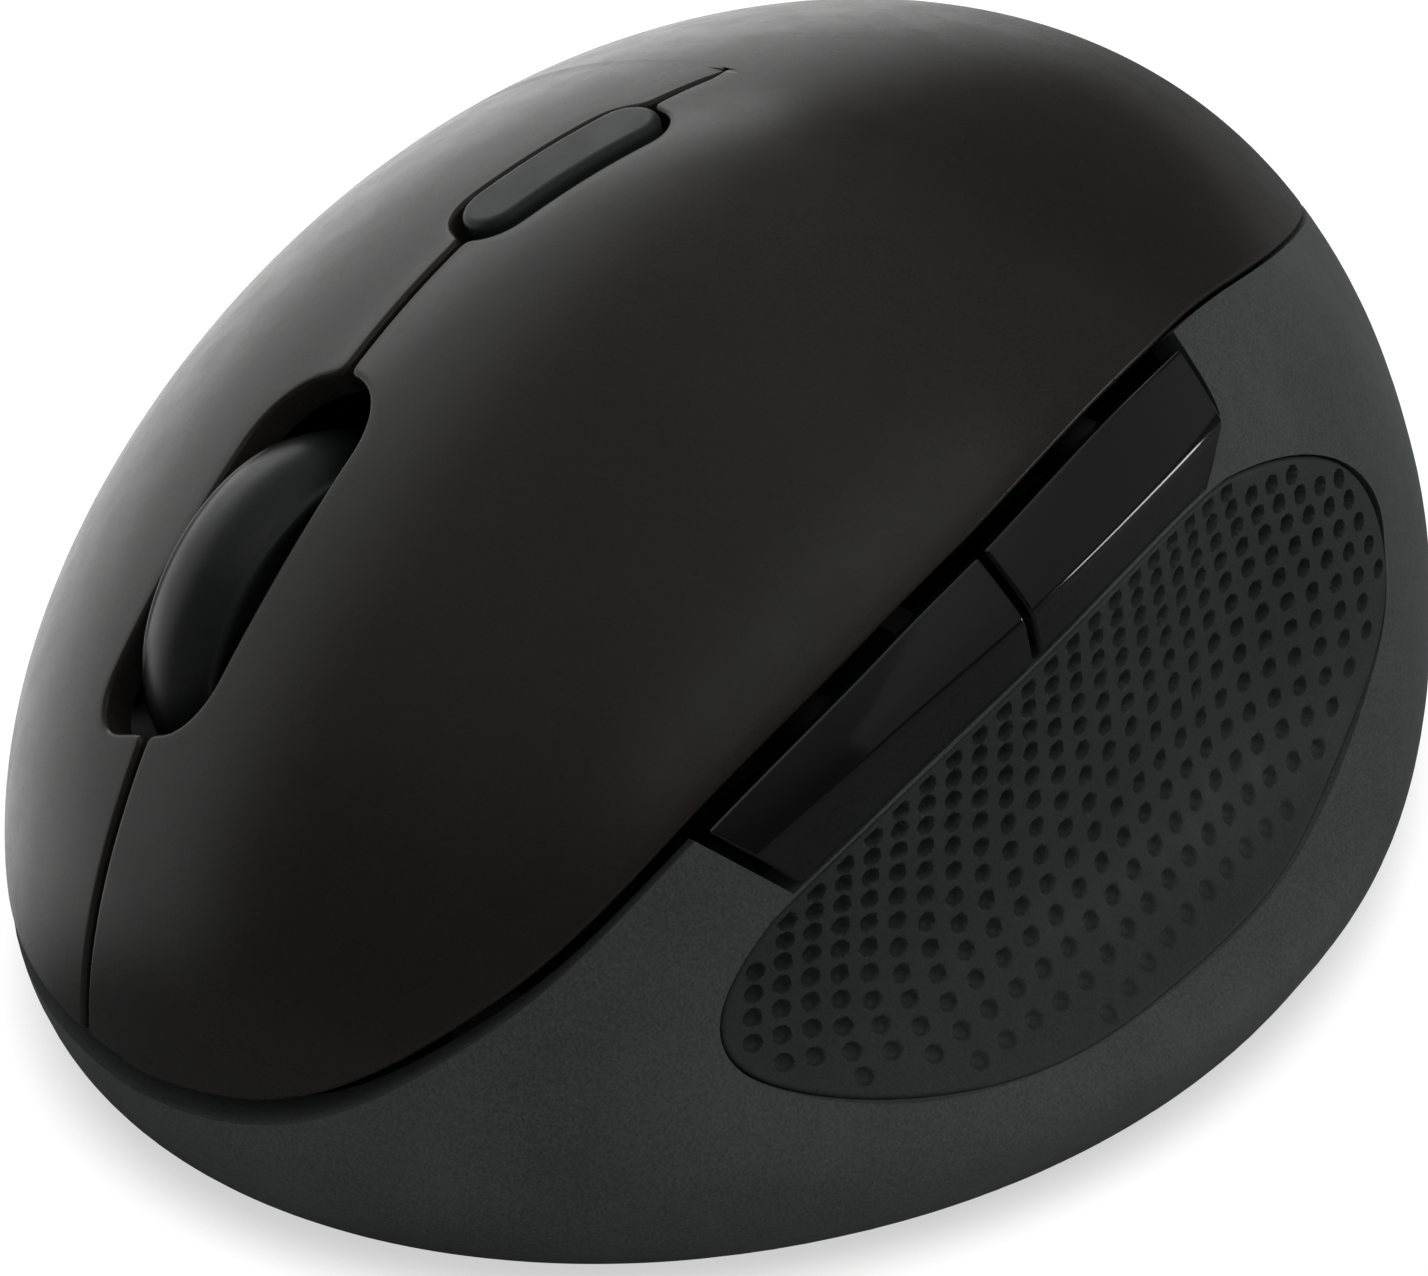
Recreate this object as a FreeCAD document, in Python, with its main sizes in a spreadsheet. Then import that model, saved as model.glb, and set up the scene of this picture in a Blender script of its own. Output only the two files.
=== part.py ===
"""A compact cordless right-handed ergonomic mouse, in millimetres.

The frame stands on the surface that the mouse glides on: +Z is up, the nose
with the wheel points to -Y, and the thumb rests on the +X side.  The origin is
the middle of the footprint.

The housing is one egg-shaped form.  A level cut of it is a slightly uneven
ellipse, and the levels shrink towards the crown as the cosine of an angle.
The thumb side of the lower shell is the same form drawn inwards to a wall.
"""
import FreeCAD, Part
import Sketcher
import math
import os
import re
import types

Vector = FreeCAD.Vector
Rotation = FreeCAD.Rotation

# Driving dimensions: name, millimetres (or degrees, or a plain ratio), meaning.
SIZES = (
    ("shell_length", 89.0, "outer length, nose to heel"),
    ("shell_width", 69.5, "outer width"),
    ("shell_height", 44.0, "height of the crown above the surface"),
    ("widest_height", 8.0, "height at which the outline is widest"),
    ("tuck_ratio", 0.12, "how far the outline draws in towards the base"),
    ("middle_shift_x", -0.75, "middle of the outline from the origin, across"),
    ("middle_shift_y", -0.55, "middle of the outline from the origin, along"),
    ("crown_shift_x", 1.52, "crown from the middle of the outline, across"),
    ("crown_shift_y", -0.2, "crown from the middle of the outline, along"),
    ("flank_fullness", -0.145, "swelling of the flanks between base and crown"),
    ("flank_lean_x", -0.063, "swelling that differs between thumb and finger side"),
    ("flank_lean_y", 0.12, "swelling that differs between heel and nose"),
    ("outline_skew", -0.044, "diagonal fullness of the outline"),
    ("outline_trefoil", 0.0202, "three-sided fullness of the outline"),
    ("wall_thick", 2.2, "wall of the housing"),
    ("ground_gap", 0.6, "underside of the housing above the surface"),
    ("scoop_drop", 3.75, "crease over the thumb wall, below the cover's edge"),
    ("scoop_drop_front", -45.0, "direction where the crease starts to near the edge, forward, degrees"),
    ("scoop_drop_front_end", -78.0, "direction where the crease meets the edge, forward, degrees"),
    ("scoop_drop_back", 24.0, "direction where the crease starts to near the edge, back, degrees"),
    ("scoop_drop_back_end", 66.0, "direction where the crease meets the edge, back, degrees"),
    ("scoop_lean", 0.12, "outward run of the thumb wall per millimetre down"),
    ("scoop_lip", 8.0, "outward flare of the lip under the thumb"),
    ("scoop_lip_height", 6.0, "height at which the lip has its full flare"),
    ("scoop_lip_fade", 3.6, "height over which the flare dies away"),
    ("scoop_front", -38.0, "direction where the hollow starts to fade forward, degrees"),
    ("scoop_front_end", -84.0, "direction where the hollow ends forward, degrees"),
    ("scoop_back", 10.0, "direction where the hollow starts to fade back, degrees"),
    ("scoop_back_end", 46.0, "direction where the hollow ends back, degrees"),
    ("scoop_softness", 1.0, "rounding where the hollow meets the full form"),
    ("seam_000", 34.8, "height of the cover's edge over the thumb"),
    ("seam_015", 35.1, "height of the cover's edge at 15 degrees"),
    ("seam_030", 34.45, "height of the cover's edge at 30 degrees"),
    ("seam_045", 32.3, "height of the cover's edge at 45 degrees"),
    ("seam_060", 29.0, "height of the cover's edge at 60 degrees"),
    ("seam_075", 24.6, "height of the cover's edge at 75 degrees"),
    ("seam_090", 20.0, "height of the cover's edge at the heel"),
    ("seam_105", 16.0, "height of the cover's edge at 105 degrees"),
    ("seam_120", 12.5, "height of the cover's edge at 120 degrees"),
    ("seam_135", 9.9, "height of the cover's edge at 135 degrees"),
    ("seam_150", 8.0, "height of the cover's edge at 150 degrees"),
    ("seam_165", 6.8, "height of the cover's edge at 165 degrees"),
    ("seam_180", 6.0, "height of the cover's edge on the finger side"),
    ("seam_195", 5.7, "height of the cover's edge at 195 degrees"),
    ("seam_210", 5.9, "height of the cover's edge at 210 degrees"),
    ("seam_225", 6.4, "height of the cover's edge at 225 degrees"),
    ("seam_240", 7.0, "height of the cover's edge at 240 degrees"),
    ("seam_255", 7.6, "height of the cover's edge at 255 degrees"),
    ("seam_270", 8.4, "height of the cover's edge at the nose"),
    ("seam_285", 11.2, "height of the cover's edge at 285 degrees"),
    ("seam_300", 17.9, "height of the cover's edge at 300 degrees"),
    ("seam_315", 26.0, "height of the cover's edge at 315 degrees"),
    ("seam_330", 30.8, "height of the cover's edge at 330 degrees"),
    ("seam_345", 33.4, "height of the cover's edge at 345 degrees"),
    ("nose_gap", 1.4, "gap under the keys' edge round the nose"),
    ("heel_gap", 0.3, "gap under the cover's edge round the heel"),
    ("slit_width", 0.6, "slit between the two keys"),
    ("slit_nose_x", -5.9, "where the slit runs out at the nose, across"),
    ("slit_middle_x", -8.1, "where the slit passes the wheel, across"),
    ("slit_end_x", -5.1, "where the slit ends on the crown, across"),
    ("slit_end_y", 2.4, "where the slit ends on the crown, along"),
    ("key_root_y", 3.4, "line on which the keys bend, along"),
    ("key_root_gap", 0.3, "hairline at the keys' root"),
    ("key_root_z", 14.0, "height of the keys' turning line"),
    ("key_post_radius", 1.5, "post under a key"),
    ("wheel_x", -8.1, "middle of the wheel, across"),
    ("wheel_y", -26.2, "axle of the wheel, along"),
    ("wheel_z", 23.2, "axle of the wheel, height"),
    ("wheel_radius", 10.0, "tyre radius"),
    ("wheel_width", 5.2, "tyre width"),
    ("tyre_thick", 1.8, "tyre section"),
    ("wheel_gap", 1.05, "gap at the wheel's sides in its slot"),
    ("wheel_room", 0.7, "hollow round the wheel inside the keys, beyond the tyre"),
    ("slot_front_y", -38.2, "front end of the wheel's slot"),
    ("slot_back_y", -22.5, "back end of the wheel's slot"),
    ("axle_radius", 1.5, "wheel axle"),
    ("axle_play", 0.06, "running clearance of the axle"),
    ("hub_wall", 1.3, "web of the hub"),
    ("cheek_thick", 1.2, "cheek of the wheel carrier"),
    ("cheek_gap", 0.5, "between a cheek and the hub"),
    ("tower_gap", 0.4, "between the tower and the carrier"),
    ("tower_thick", 1.8, "upright of the wheel tower"),
    ("press_travel", 0.5, "travel of the wheel when it is pressed"),
    ("dpi_length", 11.4, "speed button, length"),
    ("dpi_width", 3.7, "speed button, width"),
    ("dpi_x", -6.6, "middle of the speed button, across"),
    ("dpi_y", -8.0, "middle of the speed button, along"),
    ("dpi_turn", 15.0, "turn of the speed button in plan, degrees"),
    ("dpi_gap", 0.5, "gap round the speed button"),
    ("dpi_proud", 0.35, "speed button above the cover"),
    ("dpi_board_z", 33.6, "underside of the speed button's board"),
    ("dpi_board_thick", 1.0, "speed button's board"),
    ("dpi_board_length", 9.0, "speed button's board, along"),
    ("dpi_board_width", 7.0, "speed button's board, across"),
    ("tongue_thick", 1.6, "tongue that carries the speed button's board"),
    ("cap_thick", 1.6, "skin of a button cap"),
    ("click_gap", 0.1, "free gap between a button and its switch"),
    ("side_button_height", 5.9, "height of the side buttons"),
    ("side_button_proud", 0.2, "side buttons above the thumb wall"),
    ("side_button_gap", 0.45, "gap round the side buttons"),
    ("side_button_top_gap", 1.0, "drop of the side buttons under the cover's edge"),
    ("side_front_y", -28.25, "front end of the side buttons"),
    ("side_split_y", -9.9, "split between the side buttons"),
    ("side_back_y", 8.8, "back end of the side buttons"),
    ("side_front_slant", 0.6, "slant of the side buttons' front end, per millimetre down"),
    ("side_split_slant", 0.16, "slant of the split between them, per millimetre down"),
    ("side_back_cut", 2.4, "cut off the back button's end below the crease, along"),
    ("grip_length", 50.8, "thumb grip, length"),
    ("grip_height", 20.8, "thumb grip, height"),
    ("grip_y", -3.9, "middle of the thumb grip, along"),
    ("grip_z", 18.1, "middle of the thumb grip, height"),
    ("grip_000", 1.005, "fullness of the grip's outline at the heel end"),
    ("grip_030", 1.037, "fullness of the grip's outline at 30 degrees"),
    ("grip_060", 1.060, "fullness of the grip's outline at 60 degrees"),
    ("grip_090", 0.996, "fullness of the grip's outline at the top"),
    ("grip_120", 0.829, "fullness of the grip's outline at 120 degrees"),
    ("grip_150", 0.793, "fullness of the grip's outline at 150 degrees"),
    ("grip_180", 0.922, "fullness of the grip's outline at the nose end"),
    ("grip_210", 1.140, "fullness of the grip's outline at 210 degrees"),
    ("grip_240", 1.115, "fullness of the grip's outline at 240 degrees"),
    ("grip_270", 1.002, "fullness of the grip's outline at the foot"),
    ("grip_300", 1.064, "fullness of the grip's outline at 300 degrees"),
    ("grip_330", 1.055, "fullness of the grip's outline at 330 degrees"),
    ("grip_strip", 0.35, "strip of wall between the side buttons' opening and the grip"),
    ("grip_thick", 1.0, "thumb grip, thickness"),
    ("grip_seat", 0.1, "clearance round and behind the thumb grip"),
    ("plate_thick", 2.0, "base plate"),
    ("plate_gap", 0.45, "gap between base plate and shell"),
    ("skate_thick", 1.1, "gliding foot, thickness"),
    ("skate_seat_gap", 0.1, "clearance of a foot in its recess"),
    ("skate_front_length", 24.0, "front foot, length across"),
    ("skate_front_width", 5.0, "front foot, width"),
    ("skate_front_y", -28.5, "front foot, along"),
    ("skate_back_length", 12.0, "back feet, length along"),
    ("skate_back_width", 4.0, "back foot, width"),
    ("skate_back_y", 15.0, "back feet, along"),
    ("skate_back_finger_x", -19.0, "back foot on the finger side, across"),
    ("skate_back_thumb_x", 19.6, "back foot on the thumb side, across"),
    ("board_z", 6.0, "underside of the main board"),
    ("board_thick", 1.6, "main board"),
    ("board_gap", 0.3, "clearance of the boards on their seats"),
    ("cell_radius", 5.25, "round cell, radius"),
    ("cell_length", 43.7, "round cell, body length"),
    ("cell_nub_radius", 1.9, "round cell, contact nub radius"),
    ("cell_nub", 0.8, "round cell, contact nub"),
    ("cell_x", -7.0, "round cell, across"),
    ("cell_front_y", -12.0, "round cell, front end"),
    ("cell_z", 8.9, "round cell, axis height"),
    ("door_gap", 0.3, "gap round the battery door"),
    ("switch_length", 12.8, "key switch, length"),
    ("switch_width", 5.8, "key switch, width"),
    ("switch_height", 6.5, "key switch, height"),
    ("plunger_rise", 1.0, "plunger above its switch"),
    ("left_switch_x", 9.0, "switch under the thumb-side key, across"),
    ("left_switch_y", -24.2, "switch under the thumb-side key, along"),
    ("right_switch_x", -20.5, "switch under the finger-side key, across"),
    ("right_switch_y", -18.5, "switch under the finger-side key, along"),
    ("plunger_ahead", 3.0, "plunger ahead of its switch's middle"),
    ("tact_side", 6.0, "small switch, side"),
    ("tact_height", 3.5, "small switch, height"),
    ("tact_radius", 1.7, "small switch, plunger radius"),
    ("tact_rise", 1.0, "small switch, plunger rise"),
    ("wheel_switch_x", 2.2, "switch under the wheel's arm, across"),
    ("wheel_switch_y", -31.5, "switch under the wheel's arm, along"),
    ("wheel_switch_rise", 2.4, "plunger rise of the wheel's switch"),
    ("side_board_x", 12.6, "side board, across"),
    ("side_board_thick", 1.2, "side board"),
    ("forward_switch_y", -18.6, "switch of the forward button, along"),
    ("forward_switch_z", 25.5, "switch of the forward button, height"),
    ("back_switch_y", 1.4, "switch of the back button, along"),
    ("back_switch_z", 31.9, "switch of the back button, height"),
    ("stem_radius", 1.5, "stem of a button"),
    ("sensor_x", 11.0, "optical sensor, across"),
    ("sensor_y", -6.0, "optical sensor, along"),
    ("power_x", 15.0, "power switch, across"),
    ("power_y", 14.0, "power switch, along"),
    ("power_travel", 3.0, "travel of the power slider"),
    ("receiver_x", 8.0, "receiver, across"),
    ("receiver_y", 25.2, "receiver, along"),
    ("receiver_gap", 0.2, "clearance of the receiver in its pocket"),
    ("receiver_width", 12.8, "receiver cap, across"),
    ("receiver_depth", 6.0, "receiver cap, along"),
    ("receiver_height", 6.0, "receiver cap, height"),
    ("plug_width", 11.8, "receiver plug, across"),
    ("plug_depth", 4.5, "receiver plug, along"),
    ("plug_length", 12.0, "receiver plug, height"),
    ("pocket_wall", 1.2, "wall of the receiver's pocket and the cell's cradle"),
    ("pocket_height", 5.4, "receiver's pocket above the base plate"),
    ("cradle_height", 6.4, "cell's cradle above the base plate"),
    ("spring_length", 1.9, "cell spring, pressed"),
    ("contact_thick", 0.4, "cell contact"),
    ("sensor_side", 10.0, "sensor chip, side"),
    ("sensor_thick", 2.2, "sensor chip, height"),
    ("lens_length", 8.0, "sensor lens, along"),
    ("lens_width", 8.0, "sensor lens, across"),
    ("window_length", 5.0, "sensor window, along"),
    ("window_width", 7.0, "sensor window, across"),
    ("window_gap", 0.3, "gap round the lens in its window"),
    ("power_length", 9.0, "power switch, along"),
    ("power_width", 4.0, "power switch, across"),
    ("power_height", 2.4, "power switch, height"),
    ("knob_length", 3.4, "power slider, along"),
    ("knob_width", 3.0, "power slider, across"),
    ("knob_height", 2.2, "power slider, height"),
    ("standoff_radius", 2.0, "board standoff"),
    ("board_screw_radius", 0.8, "board screw, thread"),
    ("board_screw_head", 1.5, "board screw, head"),
    ("board_screw_length", 4.0, "board screw, length under the head"),
    ("screw_head_thick", 0.9, "screw head, thickness"),
    ("thread_gap", 0.05, "screw in its hole"),
    ("boss_height", 9.0, "screw boss above the base plate"),
    ("rib_thick", 1.6, "rib of a boss"),
    ("chip_side", 6.0, "controller chip, side"),
    ("chip_thick", 1.0, "controller chip, thickness"),
    ("arm_thick", 2.0, "arm that carries the side board"),
    ("screw_radius", 1.0, "housing screw, thread"),
    ("screw_head_radius", 1.9, "housing screw, head"),
    ("screw_length", 8.0, "housing screw, length under the head"),
    ("boss_radius", 2.5, "screw boss"),
    ("front_boss_x", 12.0, "front bosses from the middle, across"),
    ("front_boss_y", -33.5, "front bosses, along"),
    ("back_boss_y", 8.0, "back bosses, along"),
    ("back_boss_finger_x", -24.0, "back boss on the finger side, across"),
    ("back_boss_thumb_x", 23.4, "back boss on the thumb side, across"),
)

doc = FreeCAD.newDocument("ergonomic_mouse")
sheet = doc.addObject("Spreadsheet::Sheet", "Sizes")
for row, (alias, value, meaning) in enumerate(SIZES, 1):
    sheet.set("A%d" % row, meaning)
    sheet.set("B%d" % row, repr(value))
    sheet.setAlias("B%d" % row, alias)
doc.recompute()
size = types.SimpleNamespace(**{alias: float(sheet.get(alias)) for alias, _, _ in SIZES})

pieces = {}


def bound(text):
    """The expression with every size name read from the sheet."""
    return re.sub(r"\b[a-z][a-z_0-9]*\b", lambda m: "Sizes." + m.group(0), str(text))


def piece(name, obj):
    """Register an object as a separate piece under the name of its file."""
    obj.Label = name
    pieces[name] = obj
    return obj


def place(obj, where):
    """Bind the three coordinates of an object's placement."""
    for axis, text in zip("xyz", where):
        obj.setExpression("Placement.Base." + axis, bound(text))


def box(name, corner, sides):
    """A block from its low corner and its three sides."""
    obj = doc.addObject("Part::Box", name)
    for prop, text in zip(("Length", "Width", "Height"), sides):
        obj.setExpression(prop, bound(text))
    place(obj, corner)
    return obj


def rod(name, base, axis, radius, length):
    """A cylinder from the middle of its base along X, Y or Z."""
    obj = doc.addObject("Part::Cylinder", name)
    obj.setExpression("Radius", bound(radius))
    obj.setExpression("Height", bound(length))
    turn = {"x": Rotation(Vector(0, 1, 0), 90), "y": Rotation(Vector(1, 0, 0), -90), "z": Rotation()}
    obj.Placement = FreeCAD.Placement(Vector(), turn[axis])
    place(obj, base)
    return obj


def cut(name, base, *tools):
    """The first solid less the others."""
    tool = tools[0] if len(tools) == 1 else fuse(name + "_tools", *tools)
    obj = doc.addObject("Part::Cut", name)
    obj.Base = base
    obj.Tool = tool
    return obj


def fuse(name, *shapes):
    """Several solids joined."""
    obj = doc.addObject("Part::MultiFuse", name)
    obj.Shapes = list(shapes)
    return obj


def group(name, *shapes):
    """Several separate solids kept in one piece file."""
    obj = doc.addObject("Part::Compound", name)
    obj.Links = list(shapes)
    return obj


def common(name, *shapes):
    """What several solids share."""
    obj = doc.addObject("Part::MultiCommon", name)
    obj.Shapes = list(shapes)
    return obj


def form(name, shape):
    """A free-form solid."""
    obj = doc.addObject("Part::Feature", name)
    obj.Shape = shape
    obj.Placement = shape.Placement
    return obj


def outline(body, name, role, corners, lift="0"):
    """A closed sketch through corners, each bound by its two distances."""
    sketch = body.newObject("Sketcher::SketchObject", name)
    support = next(f for f in body.Origin.OriginFeatures if f.Role == role)
    sketch.AttachmentSupport = [(support, "")]
    sketch.MapMode = "FlatFace"
    sketch.setExpression("AttachmentOffset.Base.z", bound(lift))
    count = len(corners)
    ring = [Vector(10 * math.cos(2 * math.pi * i / count), 10 * math.sin(2 * math.pi * i / count), 0)
            for i in range(count)]
    for i in range(count):
        sketch.addGeometry(Part.LineSegment(ring[i], ring[(i + 1) % count]), False)
    for i in range(count):
        sketch.addConstraint(Sketcher.Constraint("Coincident", i, 2, (i + 1) % count, 1))
    for i, (across, along) in enumerate(corners):
        for kind, text, start in (("DistanceX", across, ring[i].x), ("DistanceY", along, ring[i].y)):
            index = sketch.addConstraint(Sketcher.Constraint(kind, -1, 1, i, 1, start))
            sketch.setExpression("Constraints[%d]" % index, bound(text))
    return sketch


def plate_body(name, role, corners, thick, lift="0"):
    """A body padded from a cornered sketch on one of its planes."""
    body = doc.addObject("PartDesign::Body", name)
    sketch = outline(body, name + "_outline", role, corners, lift)
    pad = body.newObject("PartDesign::Pad", name + "_pad")
    pad.Profile = sketch
    pad.setExpression("Length", bound(thick))
    return body


def turned_body(name, corners, where):
    """A body turned about the X direction from a half section (along the axis, radius)."""
    body = doc.addObject("PartDesign::Body", name)
    sketch = outline(body, name + "_section", "XZ_Plane", corners)
    turn = body.newObject("PartDesign::Revolution", name + "_turn")
    turn.Profile = sketch
    turn.ReferenceAxis = (sketch, ["H_Axis"])
    turn.Angle = 360
    place(body, where)
    return body


# The egg form.  Its outline at a level is an ellipse whose radius varies with
# the direction, and the level is given by an angle: 0 at the widest level and
# 90 degrees at the crown.

TURN = 2 * math.pi
STATIONS = 48
LEVELS = (8, 16, 24, 32, 40, 48, 56, 64, 72, 80, 86)
LOW_LEVELS = (5, 10, 16, 21, 26, 31, 36, 41, 46, 52, 58, 65, 73, 80, 86)
SEAM_HEIGHTS = [getattr(size, "seam_%03d" % degrees) for degrees in range(0, 360, 15)]


def seam_height(direction):
    """Height of the cover's edge in a direction: a smooth curve through the stations."""
    share = (direction % TURN) / TURN * len(SEAM_HEIGHTS)
    first = int(share) % len(SEAM_HEIGHTS)
    t = share - int(share)
    a, b, c, d = (SEAM_HEIGHTS[(first + k) % len(SEAM_HEIGHTS)] for k in (-1, 0, 1, 2))
    return b + 0.5 * t * (c - a + t * (2 * a - 5 * b + 4 * c - d + t * (3 * (b - c) + d - a)))


def egg_ratio(direction, level):
    """Share of the full outline that the form has in a direction at a level angle."""
    flat = math.cos(level)
    if level < 0:
        flat = 1.0
    high = math.sin(max(level, 0.0))
    lean = size.flank_lean_x * math.cos(direction) + size.flank_lean_y * math.sin(direction)
    swell = high * high * (size.flank_fullness + flat * lean)
    skew = size.outline_trefoil * math.cos(3 * direction) + size.outline_skew * math.sin(2 * direction)
    ratio = flat * (1 + swell + flat * flat * skew)
    return ratio * (1 - size.tuck_ratio * (1 - math.cos(min(level, 0.0))))


def level_of(height, inset):
    """Level angle of a height on the form drawn in by an inset."""
    if height < size.widest_height:
        return -math.asin(min(1.0, (size.widest_height - height) / size.widest_height))
    top = size.shell_height - inset - size.widest_height
    return math.asin(min(1.0, (height - size.widest_height) / top))


def fade(direction, front_end, front, back, back_end):
    """1 between two directions, falling smoothly to 0 beyond each."""
    turn = math.degrees((direction + math.pi) % TURN - math.pi)
    share = (turn - front_end) / (front - front_end) if turn < front else (back_end - turn) / (back_end - back)
    share = min(1.0, max(0.0, share))
    return share * share * (3 - 2 * share)


def wall_ratio(direction, height, inset):
    """The share at which the thumb wall stands, under its crease."""
    half = size.shell_width / 2
    crease = seam_height(direction) - size.scoop_drop * fade(
        direction, size.scoop_drop_front_end, size.scoop_drop_front, size.scoop_drop_back, size.scoop_drop_back_end)
    wall = egg_ratio(direction, level_of(crease, 0.0)) * half
    wall += size.scoop_lean * (crease - height)
    wall += size.scoop_lip * math.exp((size.scoop_lip_height - height) / size.scoop_lip_fade)
    return (wall - inset) / (half - inset)


def scoop_ratio(direction, height, ratio, inset):
    """The share drawn in to the thumb wall, with a soft change from the full form."""
    wall = wall_ratio(direction, height, inset)
    soft = size.scoop_softness / size.shell_width * 2
    drawn = (ratio + wall) / 2 - math.sqrt((ratio - wall) ** 2 / 4 + soft * soft / 4)
    depth = fade(direction, size.scoop_front_end, size.scoop_front, size.scoop_back, size.scoop_back_end)
    return ratio + (drawn - ratio) * depth


def egg_point(direction, height, inset=0.0, scooped=False):
    """A point of the form in a direction from its middle at a height."""
    level = level_of(height, inset)
    ratio = egg_ratio(direction, level)
    if scooped:
        ratio = scoop_ratio(direction, max(height, 0.0), ratio, inset)
    high = math.sin(max(level, 0.0)) ** 2
    x = size.middle_shift_x + size.crown_shift_x * high
    y = size.middle_shift_y + size.crown_shift_y * high
    x += (size.shell_width / 2 - inset) * ratio * math.cos(direction)
    y += (size.shell_length / 2 - inset) * ratio * math.sin(direction)
    return Vector(x, y, height)


def ring_wire(points):
    """A smooth closed curve through points."""
    curve = Part.BSplineCurve()
    curve.interpolate(Points=points, PeriodicFlag=True, Parameters=[i / len(points) for i in range(len(points) + 1)])
    return Part.Wire([curve.toShape()])


def egg_solid(inset=0.0, scooped=False, bottom=0.0):
    """The form as a solid, drawn in by an inset, from a bottom height to its crown."""
    top = size.shell_height - inset - size.widest_height
    rise = size.widest_height - bottom
    heights = [bottom + rise * share for share in (0, 0.12, 0.3, 0.6, 1)]
    heights += [size.widest_height + top * math.sin(math.radians(a)) for a in (LOW_LEVELS if scooped else LEVELS)]
    directions = [TURN * i / STATIONS for i in range(STATIONS)]
    rings = [ring_wire([egg_point(d, h, inset, scooped) for d in directions]) for h in heights]
    return Part.makeLoft(rings, True)


def wall_solid(inset):
    """The thumb wall alone as an upright solid, drawn in by an inset, for the side buttons."""
    rings = []
    for height in (12, 16, 20, 24, 28, 32, 36, 40):
        points = []
        for i in range(STATIONS):
            direction = TURN * i / STATIONS
            ratio = 1.2
            if math.cos(direction) > -0.2:
                ratio = min(1.2, wall_ratio(direction, height, inset))
            half_x, half_y = size.shell_width / 2 - inset, size.shell_length / 2 - inset
            points.append(Vector(size.middle_shift_x + half_x * ratio * math.cos(direction),
                                 size.middle_shift_y + half_y * ratio * math.sin(direction), height))
        rings.append(ring_wire(points))
    return Part.makeLoft(rings, True)


def seam_solid():
    """All that lies above the cover's edge.

    Its underside is ruled from a small level ring in the middle of the housing
    out through the edge curve.
    """
    inner, outer, lid = [], [], []
    for i in range(STATIONS):
        direction = TURN * (i / STATIONS + 0.3)
        edge = egg_point(direction, seam_height(direction))
        near = Vector(0.2 * edge.x, 0.2 * edge.y, size.seam_090 * 0.8)
        far = near + (edge - near) * 1.5
        inner.append(near)
        outer.append(far)
        lid.append(Vector(far.x, far.y, 2 * size.shell_height))
    return Part.makeLoft([ring_wire(inner), ring_wire(outer), ring_wire(lid)], True, True)


def lowered(solid, drop):
    """A copy of a solid, set lower by a drop."""
    copy = solid.copy()
    copy.translate(Vector(0, 0, -drop))
    return copy


def finger_half(margin):
    """The half space on the finger side of the slit, as a prism with a margin."""
    nose = Vector(size.slit_nose_x - margin, -size.shell_length, 0)
    near = Vector(size.slit_nose_x - margin, size.slit_end_y - size.shell_length / 2 - 6.4, 0)
    middle = Vector(size.slit_middle_x - margin, size.wheel_y + 3, 0)
    end = Vector(size.slit_end_x - margin, size.slit_end_y, 0)
    back = Vector(size.slit_end_x - margin, size.shell_length, 0)
    far = -size.shell_width
    edges = [Part.makeLine(Vector(far, nose.y, 0), nose), Part.makeLine(nose, near),
             Part.Arc(near, middle, end).toShape(), Part.makeLine(end, back),
             Part.makeLine(back, Vector(far, back.y, 0)),
             Part.makeLine(Vector(far, back.y, 0), Vector(far, nose.y, 0))]
    return Part.Face(Part.Wire(edges)).extrude(Vector(0, 0, 2 * size.shell_height))


def block(low, high):
    """A plain block between two corners, for cutting free forms."""
    return Part.makeBox(high[0] - low[0], high[1] - low[1], high[2] - low[2], Vector(*low))


def stadium(length, width, height):
    """An upright prism with round ends, lengthwise along Y, about the origin."""
    run = (length - width) / 2
    radius = width / 2
    arcs = [Part.Arc(Vector(radius, run, 0), Vector(0, run + radius, 0), Vector(-radius, run, 0)).toShape(),
            Part.makeLine(Vector(-radius, run, 0), Vector(-radius, -run, 0)),
            Part.Arc(Vector(-radius, -run, 0), Vector(0, -run - radius, 0), Vector(radius, -run, 0)).toShape(),
            Part.makeLine(Vector(radius, -run, 0), Vector(radius, run, 0))]
    return Part.Face(Part.Wire(arcs)).extrude(Vector(0, 0, height))


def dpi_prism(margin):
    """The speed button's outline in plan, grown by a margin."""
    prism = stadium(size.dpi_length + 2 * margin, size.dpi_width + 2 * margin, size.shell_height)
    prism.rotate(Vector(), Vector(0, 0, 1), -size.dpi_turn)
    prism.translate(Vector(size.dpi_x, size.dpi_y, size.dpi_board_z + size.dpi_board_thick + size.tact_height))
    return prism


def wheel_slot():
    """The slot for the wheel through the cover."""
    side = size.wheel_width / 2 + size.wheel_gap
    low = (size.wheel_x - side, size.slot_front_y, size.wheel_z - size.wheel_radius)
    high = (size.wheel_x + side, size.slot_back_y, size.shell_height)
    prism = block(low, high)
    for end, radius in ((size.slot_front_y, side * 0.6), (size.slot_back_y, side * 0.98)):
        corners = [e for e in prism.Edges if all(abs(v.Y - end) < 1e-6 for v in e.Vertexes)
                   and abs(e.Vertexes[0].X - e.Vertexes[1].X) < 1e-6]
        prism = prism.makeFillet(radius, corners)
    return prism


def ridge_z(y):
    """Height of the cover's edge over the thumb wall at a place along the mouse."""
    direction = 0.0
    for _ in range(30):
        point = egg_point(direction, seam_height(direction))
        reach = math.radians(40) * (y - point.y) / (size.shell_length / 2)
        direction += reach
    return seam_height(direction)


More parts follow.
